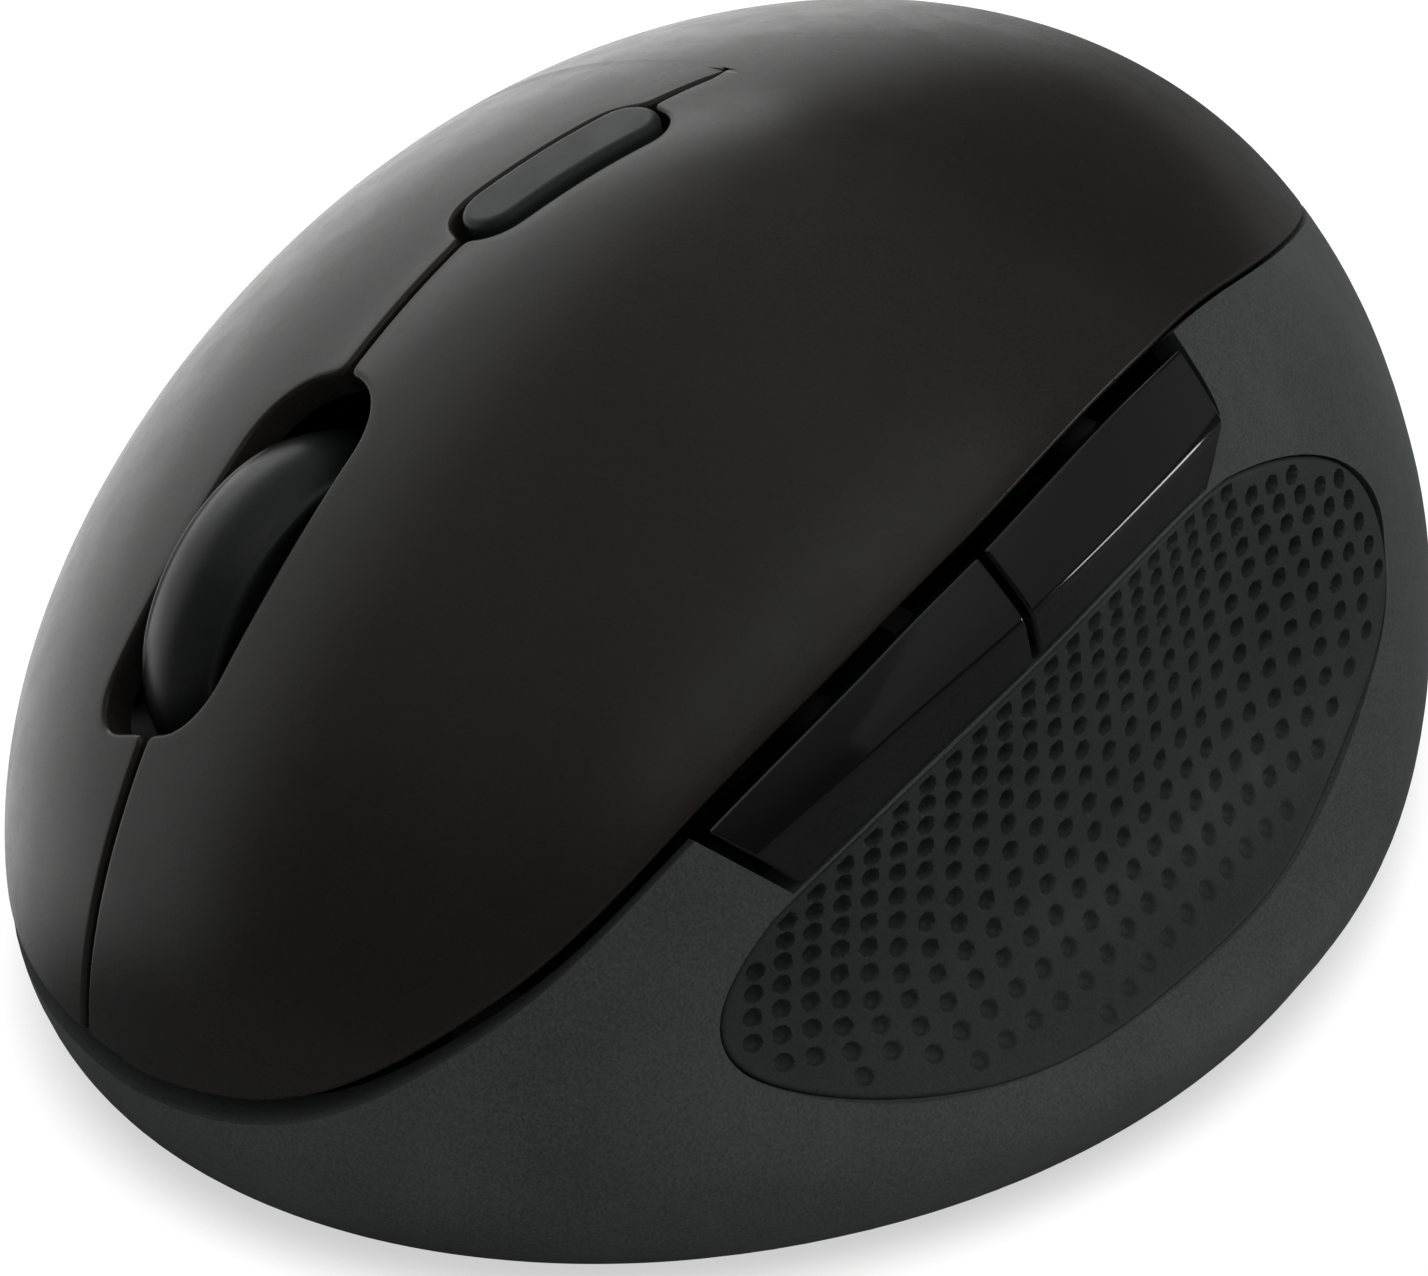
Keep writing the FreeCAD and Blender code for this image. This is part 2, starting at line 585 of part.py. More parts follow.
def side_prism(start, front, back, lower, upper, front_slant=0.0, back_slant=0.0, back_cut=0.0):
    """An outline in the side view, from the ridge curve down, as a prism across.

    Its back end may be cut off below the wall's crease.
    """
    def curve(start, end, drop):
        points = [Vector(0, start + (end - start) * k / 6, 0) for k in range(7)]
        for point in points:
            point.z = ridge_z(point.y) - drop
        line = Part.BSplineCurve()
        line.interpolate(points)
        return line.toShape(), points[0], points[-1]
    top, top_front, top_back = curve(front + front_slant * upper, back + back_slant * upper, upper)
    foot, foot_front, foot_back = curve(front + front_slant * lower, back + back_slant * lower - back_cut, lower)
    corner = Vector(0, back + back_slant * size.scoop_drop, 0)
    corner.z = ridge_z(corner.y) - size.scoop_drop
    path = [top_back, corner, foot_back] if back_cut else [top_back, foot_back]
    ends = [Part.makeLine(a, b) for a, b in zip(path, path[1:])]
    wire = Part.Wire([top] + ends + [foot, Part.makeLine(foot_front, top_front)])
    wire.translate(Vector(start, 0, 0))
    return Part.Face(wire).extrude(Vector(size.shell_width / 2, 0, 0))


def leaf_prism(margin):
    """The thumb grip's outline in the side view as a prism across."""
    fullness = [getattr(size, "grip_%03d" % degrees) for degrees in range(0, 360, 30)]
    points = []
    for i, full in enumerate(fullness):
        direction = TURN * i / len(fullness)
        points.append(Vector(0, size.grip_y + (size.grip_length / 2 * full + margin) * math.cos(direction),
                             size.grip_z + (size.grip_height / 2 * full + margin) * math.sin(direction)))
    face = Part.Face(ring_wire(points))
    face.translate(Vector(size.side_board_x, 0, 0))
    return face.extrude(Vector(size.shell_width / 2, 0, 0))


def grip_prism(margin):
    """The grip's outline, kept a strip below the side buttons' opening."""
    drop = size.side_button_height + 2 * size.side_button_gap + size.grip_strip - margin
    return leaf_prism(margin).cut(side_prism(size.side_board_x, size.side_front_y - 4, size.side_back_y + 4, drop, -8.0))


def cylinder_at(x, y, z, radius, height):
    """An upright cylinder, for joining to and cutting free forms."""
    return Part.makeCylinder(radius, height, Vector(x, y, z))


print("forms")
outer = egg_solid(0.0, False, size.ground_gap)
inner = egg_solid(size.wall_thick, False, 0.0)
outer_scoop = egg_solid(0.0, True, size.ground_gap)
inner_scoop = egg_solid(size.wall_thick, True, 0.0)
above = seam_solid()
for label, solid in (("outer", outer), ("inner", inner), ("outer_scoop", outer_scoop),
                     ("inner_scoop", inner_scoop), ("above", above)):
    print(label, solid.isValid(), round(solid.Volume))

# The cover and its two keys.  One moulded skin is cut by the slit, the wheel's
# slot and the speed button's hole, and its keys bend on a line behind them.

front = -size.shell_length
side = size.shell_width
tall = 2 * size.shell_height
post_foot = size.board_z + size.board_thick + size.switch_height + size.plunger_rise + size.click_gap

cover = outer.cut(inner).common(above)
root = size.key_root_y
palm = cover.common(block((-side, root + size.key_root_gap / 2, 0), (side, -front, tall)))
tongue_low = size.dpi_board_z - size.tongue_thick
tongue_half = size.dpi_board_width / 2
tongue = block((size.dpi_x - tongue_half, size.dpi_y - size.dpi_board_length / 2, tongue_low),
               (size.dpi_x + tongue_half, root + 5, size.dpi_board_z))
web = block((size.dpi_x - tongue_half, root + 2, tongue_low), (size.dpi_x + tongue_half, root + 5, tall))
palm = palm.fuse([tongue, web.common(outer)])
piece("palm_cover", form("palm_cover_form", palm))

keys = cover.common(block((-side, front, 0), (side, root - size.key_root_gap / 2, tall)))
wheel_room = Part.makeCylinder(size.wheel_radius + size.wheel_room, size.wheel_width + 2 * size.wheel_gap,
                               Vector(size.wheel_x - size.wheel_width / 2 - size.wheel_gap, size.wheel_y, size.wheel_z),
                               Vector(1, 0, 0))
keys = keys.cut([wheel_slot(), wheel_room]).cut(dpi_prism(size.dpi_gap))
finger_key = keys.common(finger_half(size.slit_width / 2))
thumb_key = keys.cut(finger_half(-size.slit_width / 2))


def with_post(key, x, y):
    """A key with the post that presses its switch."""
    post = cylinder_at(x, y, post_foot, size.key_post_radius, tall).common(outer)
    return key.fuse(post)


finger_key = with_post(finger_key, size.right_switch_x, size.right_switch_y - size.plunger_ahead)
thumb_key = with_post(thumb_key, size.left_switch_x, size.left_switch_y - size.plunger_ahead)
piece("right_key", form("right_key_form", finger_key))
piece("left_key", form("left_key_form", thumb_key))

# The lower shell: a ring of wall from the base to the cover's edge, with the
# side buttons' opening, the grip's seat, the screw bosses and the board's arm.

plate_top = size.ground_gap + size.plate_thick
nose_room = lowered(above, size.nose_gap).common(block((-side, front, 0), (side, root, tall)))
lower = outer_scoop.cut(lowered(above, size.heel_gap)).cut(nose_room)
ring = lower.cut(inner_scoop)
bosses = ((-size.front_boss_x, size.front_boss_y, 0, -1), (size.front_boss_x, size.front_boss_y, 0, -1),
          (size.back_boss_finger_x, size.back_boss_y, -1, 0), (size.back_boss_thumb_x, size.back_boss_y, 1, 0))
boss_low = plate_top + size.board_gap
inside = outer_scoop.common(block((-side, front, boss_low), (side, -front, tall)))
columns, holes = [], []
for x, y, out_x, out_y in bosses:
    columns.append(cylinder_at(x, y, boss_low, size.boss_radius, size.boss_height).common(lower))
    reach = 4 * size.boss_radius
    half = size.rib_thick / 2
    low = (x + min(0, out_x * reach) - half * abs(out_y), y + min(0, out_y * reach) - half * abs(out_x), boss_low)
    high = (x + max(0, out_x * reach) + half * abs(out_y), y + max(0, out_y * reach) + half * abs(out_x),
            boss_low + size.boss_height)
    columns.append(block(low, high).common(lower))
    holes.append(cylinder_at(x, y, 0, size.screw_radius + size.thread_gap,
                             size.ground_gap + size.screw_head_thick + size.screw_length + 0.5))
arm_y = (size.forward_switch_y + size.back_switch_y) / 2
arm = block((size.side_board_x + size.side_board_thick + size.board_gap, arm_y - size.arm_thick / 2, 18),
            (side, arm_y + size.arm_thick / 2, 25))
gap = size.side_button_gap
opening = side_prism(size.side_board_x + size.side_board_thick, size.side_front_y - gap, size.side_back_y + gap,
                     size.side_button_height + 2 * gap, -6.0, size.side_front_slant, 0.0, size.side_back_cut)
seat_depth = size.grip_thick + 2.5 * size.grip_seat
seat = grip_prism(size.grip_seat).cut(egg_solid(seat_depth, True, 0.0))
ring = ring.fuse(columns + [arm.common(inside)]).cut(holes).cut(opening).cut(seat)
piece("side_shell", form("side_shell_form", ring))

grip = grip_prism(0.0).common(outer_scoop).cut(egg_solid(size.grip_thick, True, 0.0))
piece("thumb_grip", form("thumb_grip_form", grip))

# The side buttons: caps that follow the thumb wall, each with a stem.

button_outer = egg_solid(-size.side_button_proud, False, 0.0).common(wall_solid(-size.side_button_proud))
button_depth = size.cap_thick - size.side_button_proud
button_inner = egg_solid(button_depth, False, 0.0).common(wall_solid(button_depth))
button_limit = lowered(above, size.side_button_top_gap)
stem_start = size.side_board_x + size.side_board_thick + size.tact_height + size.tact_rise + size.click_gap
for name, ends, slants, stem_y, stem_z in (
        ("forward_button", (size.side_front_y, size.side_split_y), (size.side_front_slant, size.side_split_slant, 0.0),
         size.forward_switch_y, size.forward_switch_z),
        ("back_button", (size.side_split_y + gap, size.side_back_y), (size.side_split_slant, 0.0, size.side_back_cut),
         size.back_switch_y, size.back_switch_z)):
    prism = side_prism(stem_start, *ends, size.side_button_height + gap, -1.0, *slants)
    cap = prism.common(button_outer).cut(button_inner)
    stem = Part.makeCylinder(size.stem_radius, side, Vector(stem_start, stem_y, stem_z), Vector(1, 0, 0))
    cap = cap.fuse(stem.common(outer_scoop)).cut(button_limit)
    piece(name, form(name + "_form", cap))

# The speed button on the crown, with its stem.

dpi_skin = dpi_prism(0.0).common(egg_solid(-size.dpi_proud, False, 0.0))
dpi_skin = dpi_skin.cut(egg_solid(size.cap_thick - size.dpi_proud, False, 0.0))
dpi_switch_top = size.dpi_board_z + size.dpi_board_thick + size.tact_height + size.tact_rise
dpi_stem = cylinder_at(size.dpi_x, size.dpi_y, dpi_switch_top + size.click_gap, size.stem_radius, tall)
dpi_cap = dpi_skin.fuse(dpi_stem.common(outer))
piece("dpi_button", form("dpi_button_form", dpi_cap))

# The base plate with its openings, the cell's cradle, the receiver's pocket,
# the board's standoffs and the feet's recesses.

rim = size.wall_thick + size.plate_gap
plate_rings = [ring_wire([egg_point(TURN * i / STATIONS, h, rim, True) for i in range(STATIONS)])
               for h in (size.ground_gap, (size.ground_gap + plate_top) / 2, plate_top)]
plate = Part.makeLoft(plate_rings, True)
cell_half = size.cell_radius + size.door_gap
bay_front = size.cell_front_y - size.cell_nub - size.contact_thick
bay_back = size.cell_front_y + size.cell_length + size.spring_length
bay = block((size.cell_x - cell_half, bay_front, 0), (size.cell_x + cell_half, bay_back, plate_top + size.cradle_height))
wall = size.pocket_wall
cradle = block((size.cell_x - cell_half - wall, bay_front - wall, size.ground_gap),
               (size.cell_x + cell_half + wall, bay_back + wall, plate_top + size.cradle_height))
pocket_x = size.receiver_width / 2 + size.receiver_gap
pocket_y = size.receiver_depth / 2 + size.receiver_gap
pocket = block((size.receiver_x - pocket_x, size.receiver_y - pocket_y, 0),
               (size.receiver_x + pocket_x, size.receiver_y + pocket_y, tall))
pocket_tower = block((size.receiver_x - pocket_x - wall, size.receiver_y - pocket_y - wall, size.ground_gap),
                     (size.receiver_x + pocket_x + wall, size.receiver_y + pocket_y + wall,
                      plate_top + size.pocket_height))
board_posts = ((17.6, -15.0), (5.6, 18.6), (-15.9, -13.6))
posts = [cylinder_at(x, y, size.ground_gap, size.standoff_radius, size.board_z - size.ground_gap)
         for x, y in board_posts]
plate = plate.fuse([cradle, pocket_tower] + posts).cut([bay, pocket])
for x, y in board_posts:
    plate = plate.cut(cylinder_at(x, y, plate_top, size.board_screw_radius + size.thread_gap, size.board_z))
for x, y, _, _ in bosses:
    plate = plate.cut(cylinder_at(x, y, 0, size.screw_radius + 0.2, size.board_z))
    plate = plate.cut(cylinder_at(x, y, 0, size.screw_head_radius + 0.2, size.ground_gap + size.screw_head_thick))
window_y = size.window_length / 2 + size.window_gap
window_x = size.window_width / 2 + size.window_gap
plate = plate.cut(block((size.sensor_x - window_x, size.sensor_y - window_y, 0),
                        (size.sensor_x + window_x, size.sensor_y + window_y, size.board_z)))
knob_x = size.knob_width / 2 + size.board_gap
knob_y = size.knob_length / 2 + size.board_gap
plate = plate.cut(block((size.power_x - knob_x, size.power_y - knob_y, 0),
                        (size.power_x + knob_x, size.power_y + knob_y + size.power_travel, size.board_z)))


def foot(length, width, along, x, y, margin):
    """A gliding foot with round ends."""
    shape = stadium(length + 2 * margin, width + 2 * margin, size.skate_thick)
    if not along:
        shape.rotate(Vector(), Vector(0, 0, 1), 90)
    shape.translate(Vector(x, y, 0))
    return shape


feet = ((size.skate_front_length, size.skate_front_width, False, 0.0, size.skate_front_y),
        (size.skate_back_length, size.skate_back_width, True, size.skate_back_finger_x, size.skate_back_y),
        (size.skate_back_length, size.skate_back_width, True, size.skate_back_thumb_x, size.skate_back_y))
for length, width, along, x, y in feet:
    plate = plate.cut(foot(length, width, along, x, y, size.skate_seat_gap))
piece("base_plate", form("base_plate_form", plate))
piece("front_skate", form("front_skate_form", foot(*feet[0], 0.0)))
piece("back_skates", form("back_skates_form", Part.makeCompound([foot(*feet[1], 0.0), foot(*feet[2], 0.0)])))

# The cell, its contacts and its door.

cell = fuse("cell_shape",
            rod("cell_can", ("cell_x", "cell_front_y", "cell_z"), "y", "cell_radius", "cell_length"),
            rod("cell_tip", ("cell_x", "cell_front_y - cell_nub", "cell_z"), "y", "cell_nub_radius", "cell_nub * 2"))
piece("round_cell", cell)
piece("cell_contact", box("contact_leaf", ("cell_x - cell_radius * 0.7", "cell_front_y - cell_nub - contact_thick",
                                           "cell_z - cell_radius * 0.7"),
                          ("cell_radius * 1.4", "contact_thick", "cell_radius * 1.4")))
piece("cell_spring", cut("spring_shape",
                         rod("spring_body", ("cell_x", "cell_front_y + cell_length", "cell_z"), "y", "cell_radius * 0.7",
                             "spring_length"),
                         rod("spring_bore", ("cell_x", "cell_front_y + cell_length - 1", "cell_z"), "y",
                             "cell_radius * 0.5", "spring_length + 2")))
door = plate_body("door_body", "XY_Plane",
                  (("cell_x - cell_radius", "cell_front_y - cell_nub - contact_thick + door_gap"),
                   ("cell_x + cell_radius", "cell_front_y - cell_nub - contact_thick + door_gap"),
                   ("cell_x + cell_radius", "cell_front_y + cell_length + spring_length - door_gap"),
                   ("cell_x - cell_radius", "cell_front_y + cell_length + spring_length - door_gap")),
                  "plate_thick", "ground_gap")
piece("battery_door", door)

# The boards.

board = plate_body("main_board_body", "XY_Plane",
                   (("wheel_switch_x - 9.5", "wheel_switch_y - 3.9"),
                    ("wheel_switch_x + 6.3", "wheel_switch_y - 3.9"),
                    ("wheel_switch_x + 6.3", "front_boss_y + boss_radius + 0.7"),
                    ("left_switch_x + 10.6", "front_boss_y + boss_radius + 0.7"),
                    ("left_switch_x + 11.5", "left_switch_y + 3"),
                    ("left_switch_x + 11.5", "power_y + 6.3"),
                    ("cell_x + cell_radius + 2.4", "power_y + 6.3"),
                    ("cell_x + cell_radius + 2.4", "cell_front_y - cell_nub - contact_thick - 2"),
                    ("cell_x - cell_radius - door_gap - pocket_wall - 0.5",
                     "cell_front_y - cell_nub - contact_thick - 2"),
                    ("cell_x - cell_radius - door_gap - pocket_wall - 0.5", "right_switch_y + 7"),
                    ("right_switch_x - 4", "right_switch_y + 7"),
                    ("right_switch_x - 4", "right_switch_y - 3"),
                    ("right_switch_x + 0.6", "right_switch_y - 9.6"),
                    ("wheel_switch_x - 9.5", "front_boss_y + boss_radius + 0.9")),
                   "board_thick", "board_z")
doc.recompute()


def board_hole(body, name, x, y, radius, deep):
    """A round pocket through a board."""
    sketch = body.newObject("Sketcher::SketchObject", name)
    sketch.AttachmentSupport = [(next(f for f in body.Origin.OriginFeatures if f.Role == "XY_Plane"), "")]
    sketch.MapMode = "FlatFace"
    sketch.addGeometry(Part.Circle(Vector(1, 1, 0), Vector(0, 0, 1), 1), False)
    for kind, text in (("DistanceX", x), ("DistanceY", y)):
        index = sketch.addConstraint(Sketcher.Constraint(kind, -1, 1, 0, 3, 1.0))
        sketch.setExpression("Constraints[%d]" % index, bound(text))
    index = sketch.addConstraint(Sketcher.Constraint("Radius", 0, 1.0))
    sketch.setExpression("Constraints[%d]" % index, bound(radius))
    pocket_cut = body.newObject("PartDesign::Pocket", name + "_cut")
    pocket_cut.Profile = sketch
    pocket_cut.Reversed = True
    pocket_cut.setExpression("Length", bound(deep))
    return pocket_cut


before = board.Shape.Volume
for number, (x, y) in enumerate(board_posts):
    board_hole(board, "screw_hole_%d" % number, str(x), str(y), "board_screw_radius + 0.2", "board_z + board_thick + 1")
board_hole(board, "light_hole", "sensor_x", "sensor_y", "window_length / 2", "board_z + board_thick + 1")
doc.recompute()
assert board.Shape.Volume < before - 20, "the board's holes cut nothing"
piece("main_board", board)

board_top = "board_z + board_thick"
side_face = "side_board_x + side_board_thick"
piece("side_board", plate_body("side_board_body", "YZ_Plane",
                               (("forward_switch_y - 5", "forward_switch_z - 5"),
                                ("back_switch_y + 5", "back_switch_z - 7"),
                                ("back_switch_y + 5", "back_switch_z + 3"),
                                ("back_switch_y - 3", "back_switch_z + 3"),
                                ("forward_switch_y - 5", "forward_switch_z + 2.2")),
                               "side_board_thick", "side_board_x"))
piece("dpi_board", box("dpi_board_sheet", ("dpi_x - dpi_board_width / 2", "dpi_y - dpi_board_length / 2", "dpi_board_z"),
                       ("dpi_board_width", "dpi_board_length", "dpi_board_thick")))

# The switches and their plungers.  Each plunger slides in a bore of its case.


def key_switch(name, x, y):
    """A snap switch under a key: a case and a round plunger at its front third."""
    case = box(name + "_case", (x + " - switch_width / 2", y + " - switch_length / 2", board_top),
               ("switch_width", "switch_length", "switch_height"))
    bore = rod(name + "_bore", (x, y + " - plunger_ahead", board_top + " + switch_height - 1.5"), "z",
               "tact_radius * 0.6 + 0.05", "switch_height")
    piece(name + "_switch", cut(name + "_switch_shape", case, bore))
    piece(name + "_plunger", rod(name + "_pin", (x, y + " - plunger_ahead", board_top + " + switch_height - 0.9"), "z",
                                 "tact_radius * 0.6", "plunger_rise + 0.9"))


def small_switch(name, axis, corner, bore_base, rise):
    """A small square switch with a round plunger along an axis."""
    case = box(name + "_case", corner, {"z": ("tact_side", "tact_side", "tact_height"),
                                        "x": ("tact_height", "tact_side", "tact_side")}[axis])
    base = list(bore_base)
    at = "zx".index(axis)
    spot = 2 if at == 0 else 0
    hole = list(base)
    hole[spot] = base[spot] + " - 1.4"
    pin = list(base)
    pin[spot] = base[spot] + " - 0.8"
    bore = rod(name + "_bore", hole, axis, "tact_radius + 0.05", "tact_height")
    piece(name + "_switch", cut(name + "_switch_shape", case, bore))
    piece(name + "_plunger", rod(name + "_pin", pin, axis, "tact_radius", rise + " + 0.8"))


key_switch("left", "left_switch_x", "left_switch_y")
key_switch("right", "right_switch_x", "right_switch_y")
small_switch("wheel", "z", ("wheel_switch_x - tact_side / 2", "wheel_switch_y - tact_side / 2", board_top),
             ("wheel_switch_x", "wheel_switch_y", board_top + " + tact_height"), "wheel_switch_rise")
for name in ("forward", "back"):
    y, z = name + "_switch_y", name + "_switch_z"
    small_switch(name, "x", (side_face, y + " - tact_side / 2", z + " - tact_side / 2"),
                 (side_face + " + tact_height", y, z), "tact_rise")
small_switch("dpi", "z", ("dpi_x - tact_side / 2", "dpi_y - tact_side / 2", "dpi_board_z + dpi_board_thick"),
             ("dpi_x", "dpi_y", "dpi_board_z + dpi_board_thick + tact_height"), "tact_rise")

# The wheel: a rubber tyre on a hub with its axle, in a carrier that sinks
# between two uprights when the wheel is pressed.

half_wheel = "wheel_width / 2"
rim = "wheel_radius - tyre_thick"
hub = turned_body("hub_body", (
    ("-wheel_width / 2 - cheek_gap - cheek_thick", "0"),
    ("-wheel_width / 2 - cheek_gap - cheek_thick", "axle_radius"),
    ("-wheel_width / 2 + 0.2", "axle_radius"),
    ("-wheel_width / 2 + 0.2", "axle_radius * 2"),
    ("-hub_wall / 2", "axle_radius * 2"),
    ("-hub_wall / 2", rim + " - hub_wall"),
    ("-wheel_width / 2 + 0.2", rim + " - hub_wall"),
    ("-wheel_width / 2 + 0.2", rim),
    ("wheel_width / 2 - 0.2", rim),
    ("wheel_width / 2 - 0.2", rim + " - hub_wall"),
    ("hub_wall / 2", rim + " - hub_wall"),
    ("hub_wall / 2", "axle_radius * 2"),
    ("wheel_width / 2 - 0.2", "axle_radius * 2"),
    ("wheel_width / 2 - 0.2", "axle_radius"),
    ("wheel_width / 2 + cheek_gap + cheek_thick + tower_gap + tower_thick + 2.4", "axle_radius"),
    ("wheel_width / 2 + cheek_gap + cheek_thick + tower_gap + tower_thick + 2.4", "0")),
    ("wheel_x", "wheel_y", "wheel_z"))
piece("wheel_hub", hub)
tyre = turned_body("tyre_body", (
    ("-wheel_width / 2", rim + " + 0.02"),
    ("-wheel_width / 2", "wheel_radius - 1.1"),
    ("-wheel_width / 2 + 0.35", "wheel_radius - 0.45"),
    ("-wheel_width / 2 + 1.0", "wheel_radius - 0.1"),
    ("-wheel_width / 2 + 1.8", "wheel_radius"),
    ("wheel_width / 2 - 1.8", "wheel_radius"),
    ("wheel_width / 2 - 1.0", "wheel_radius - 0.1"),
    ("wheel_width / 2 - 0.35", "wheel_radius - 0.45"),
    ("wheel_width / 2", "wheel_radius - 1.1"),
    ("wheel_width / 2", rim + " + 0.02")),
    ("wheel_x", "wheel_y", "wheel_z"))
piece("wheel_tyre", tyre)

low_z = board_top + " + 2"
cheek = (("wheel_switch_y - 0.5", low_z), ("wheel_y + 6.5", low_z), ("wheel_y + 6.5", "wheel_z - 1.8"),
         ("wheel_y + 3.5", "wheel_z + 2.4"), ("wheel_y - 2.5", "wheel_z + 2.4"),
         ("wheel_switch_y - 0.5", "wheel_z - 4"))
short_cheek = (("wheel_y - 2.8", low_z), ("wheel_y + 6.5", low_z), ("wheel_y + 6.5", "wheel_z - 1.8"),
               ("wheel_y + 3.5", "wheel_z + 2.4"), ("wheel_y - 2.5", "wheel_z + 2.4"))
finger_cheek = plate_body("finger_cheek_body", "YZ_Plane", short_cheek, "cheek_thick",
                          "wheel_x - wheel_width / 2 - cheek_gap - cheek_thick")
thumb_cheek = plate_body("thumb_cheek_body", "YZ_Plane", cheek, "cheek_thick", "wheel_x + wheel_width / 2 + cheek_gap")
bridge = box("carrier_bridge", ("wheel_x - wheel_width / 2 - cheek_gap - cheek_thick", "wheel_y - 2", low_z),
             ("wheel_width + 2 * cheek_gap + 2 * cheek_thick", "4", "1.3"))
arm_top = board_top + " + tact_height + wheel_switch_rise + click_gap"
press_arm = box("carrier_arm", ("wheel_x + wheel_width / 2 + cheek_gap", "wheel_switch_y - 0.5", arm_top),
                ("wheel_switch_x + 1.5 - wheel_x - wheel_width / 2 - cheek_gap", "2.5", "1.6"))
axle_hole = rod("carrier_hole", ("wheel_x - wheel_width * 2", "wheel_y", "wheel_z"), "x", "axle_radius + axle_play",
                "wheel_width * 4")
piece("wheel_carrier", cut("wheel_carrier_shape", fuse("carrier_blank", finger_cheek, thumb_cheek, bridge, press_arm),
                           axle_hole))

upright_x = "wheel_x + wheel_width / 2 + cheek_gap + cheek_thick + tower_gap"
far_upright_x = "wheel_x - wheel_width / 2 - cheek_gap - cheek_thick - tower_gap - tower_thick"
uprights = [box("finger_upright", (far_upright_x, "wheel_y - 2.2", board_top),
                ("tower_thick", "7.2", "wheel_z - 5.2 - board_z - board_thick")),
            box("thumb_upright", (upright_x, "wheel_y - 2.2", board_top),
                ("tower_thick", "7.2", "wheel_z - 5.2 - board_z - board_thick")),
            box("tower_foot", (far_upright_x, "wheel_y - 2.2", board_top),
                ("wheel_width + 2 * cheek_gap + 2 * cheek_thick + 2 * tower_gap + 2 * tower_thick", "7.2", "1.3")),
            box("encoder_ledge", (upright_x, "wheel_y - 2.2", "wheel_z - 6.6"), ("5.4", "6.0", "1.4"))]
piece("wheel_tower", fuse("wheel_tower_shape", *uprights))
encoder_case = box("encoder_case", (upright_x, "wheel_y - 4", "wheel_z - 5.2"), ("5.4", "8", "9"))
encoder_bore = rod("encoder_bore", (upright_x + " - 1", "wheel_y", "wheel_z"), "x", "axle_radius + press_travel + 0.3",
                   "8")
piece("wheel_encoder", cut("wheel_encoder_shape", encoder_case, encoder_bore))

# The optics, the controller, the power switch and the receiver.

piece("sensor_chip", box("sensor_block", ("sensor_x - sensor_side / 2", "sensor_y - sensor_side / 2", board_top),
                         ("sensor_side", "sensor_side", "sensor_thick")))
lens_body = box("lens_body", ("sensor_x - lens_width / 2 - 1", "sensor_y - lens_length / 2 - 1",
                              "ground_gap + plate_thick + board_gap"),
                ("lens_width + 2", "lens_length + 2", "board_z - ground_gap - plate_thick - 2 * board_gap"))
lens_nose = box("lens_nose", ("sensor_x - window_width / 2", "sensor_y - window_length / 2", "ground_gap + 0.8"),
                ("window_width", "window_length", "plate_thick"))
piece("sensor_lens", fuse("sensor_lens_shape", lens_body, lens_nose))
piece("controller_chip", box("controller_block", ("power_x - chip_side / 2 - 3", "power_y - chip_side - 6", board_top),
                             ("chip_side", "chip_side", "chip_thick")))
piece("power_switch", box("power_case", ("power_x - power_width / 2", "power_y - power_length / 2 + power_travel / 2",
                                         "board_z - power_height"), ("power_width", "power_length", "power_height")))
piece("power_slider", box("power_knob", ("power_x - knob_width / 2", "power_y - knob_length / 2", "ground_gap + 0.3"),
                          ("knob_width", "knob_length", "knob_height")))
piece("receiver_cap", box("receiver_block", ("receiver_x - receiver_width / 2", "receiver_y - receiver_depth / 2",
                                             "ground_gap + 0.2"),
                          ("receiver_width", "receiver_depth", "receiver_height")))
piece("receiver_plug", box("plug_block", ("receiver_x - plug_width / 2", "receiver_y - plug_depth / 2",
                                          "ground_gap + 0.2 + receiver_height"),
                           ("plug_width", "plug_depth", "plug_length")))


def screw(name, x, y, z, radius, head, length, down):
    """A pan screw whose head lies at a height, pointing up or down."""
    start = z + " + screw_head_thick" if not down else z + " - (" + length + ")"
    shank = rod(name + "_shank", (x, y, start), "z", radius, length)
    cap = rod(name + "_head", (x, y, z), "z", head, "screw_head_thick")
    return fuse(name + "_screw", shank, cap)


housing = [screw("housing_%d" % n, x, y, "ground_gap", "screw_radius", "screw_head_radius", "screw_length", False)
           for n, (x, y) in enumerate((("-front_boss_x", "front_boss_y"), ("front_boss_x", "front_boss_y"),
                                       ("back_boss_finger_x", "back_boss_y"), ("back_boss_thumb_x", "back_boss_y")))]
piece("housing_screws", group("housing_screw_set", *housing))
fixings = [screw("fixing_%d" % n, str(x), str(y), board_top, "board_screw_radius", "board_screw_head",
                 "board_screw_length", True) for n, (x, y) in enumerate(board_posts)]
piece("board_screws", group("board_screw_set", *fixings))

doc.recompute()
for obj in doc.Objects:
    if "Invalid" in obj.State or "Error" in obj.State:
        raise RuntimeError("failed: " + obj.Name + " " + str(obj.State))
os.makedirs("parts", exist_ok=True)
for name, obj in sorted(pieces.items()):
    shape = obj.Shape
    if shape.isNull() or not shape.isValid() or not shape.Solids:
        raise RuntimeError("no valid solid: " + name)
    print(name, len(shape.Solids), round(shape.Volume, 2))
    shape.exportStep("parts/" + name + ".step")
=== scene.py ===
"""Looks of a compact cordless ergonomic mouse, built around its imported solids.

Every length in a class is in millimetres; a mesh is written in metres.  +Z is
up, the nose with the wheel points to -Y and the thumb side is +X.
"""

import logging
import math
from dataclasses import dataclass, field
from enum import Enum
from typing import Callable, Optional

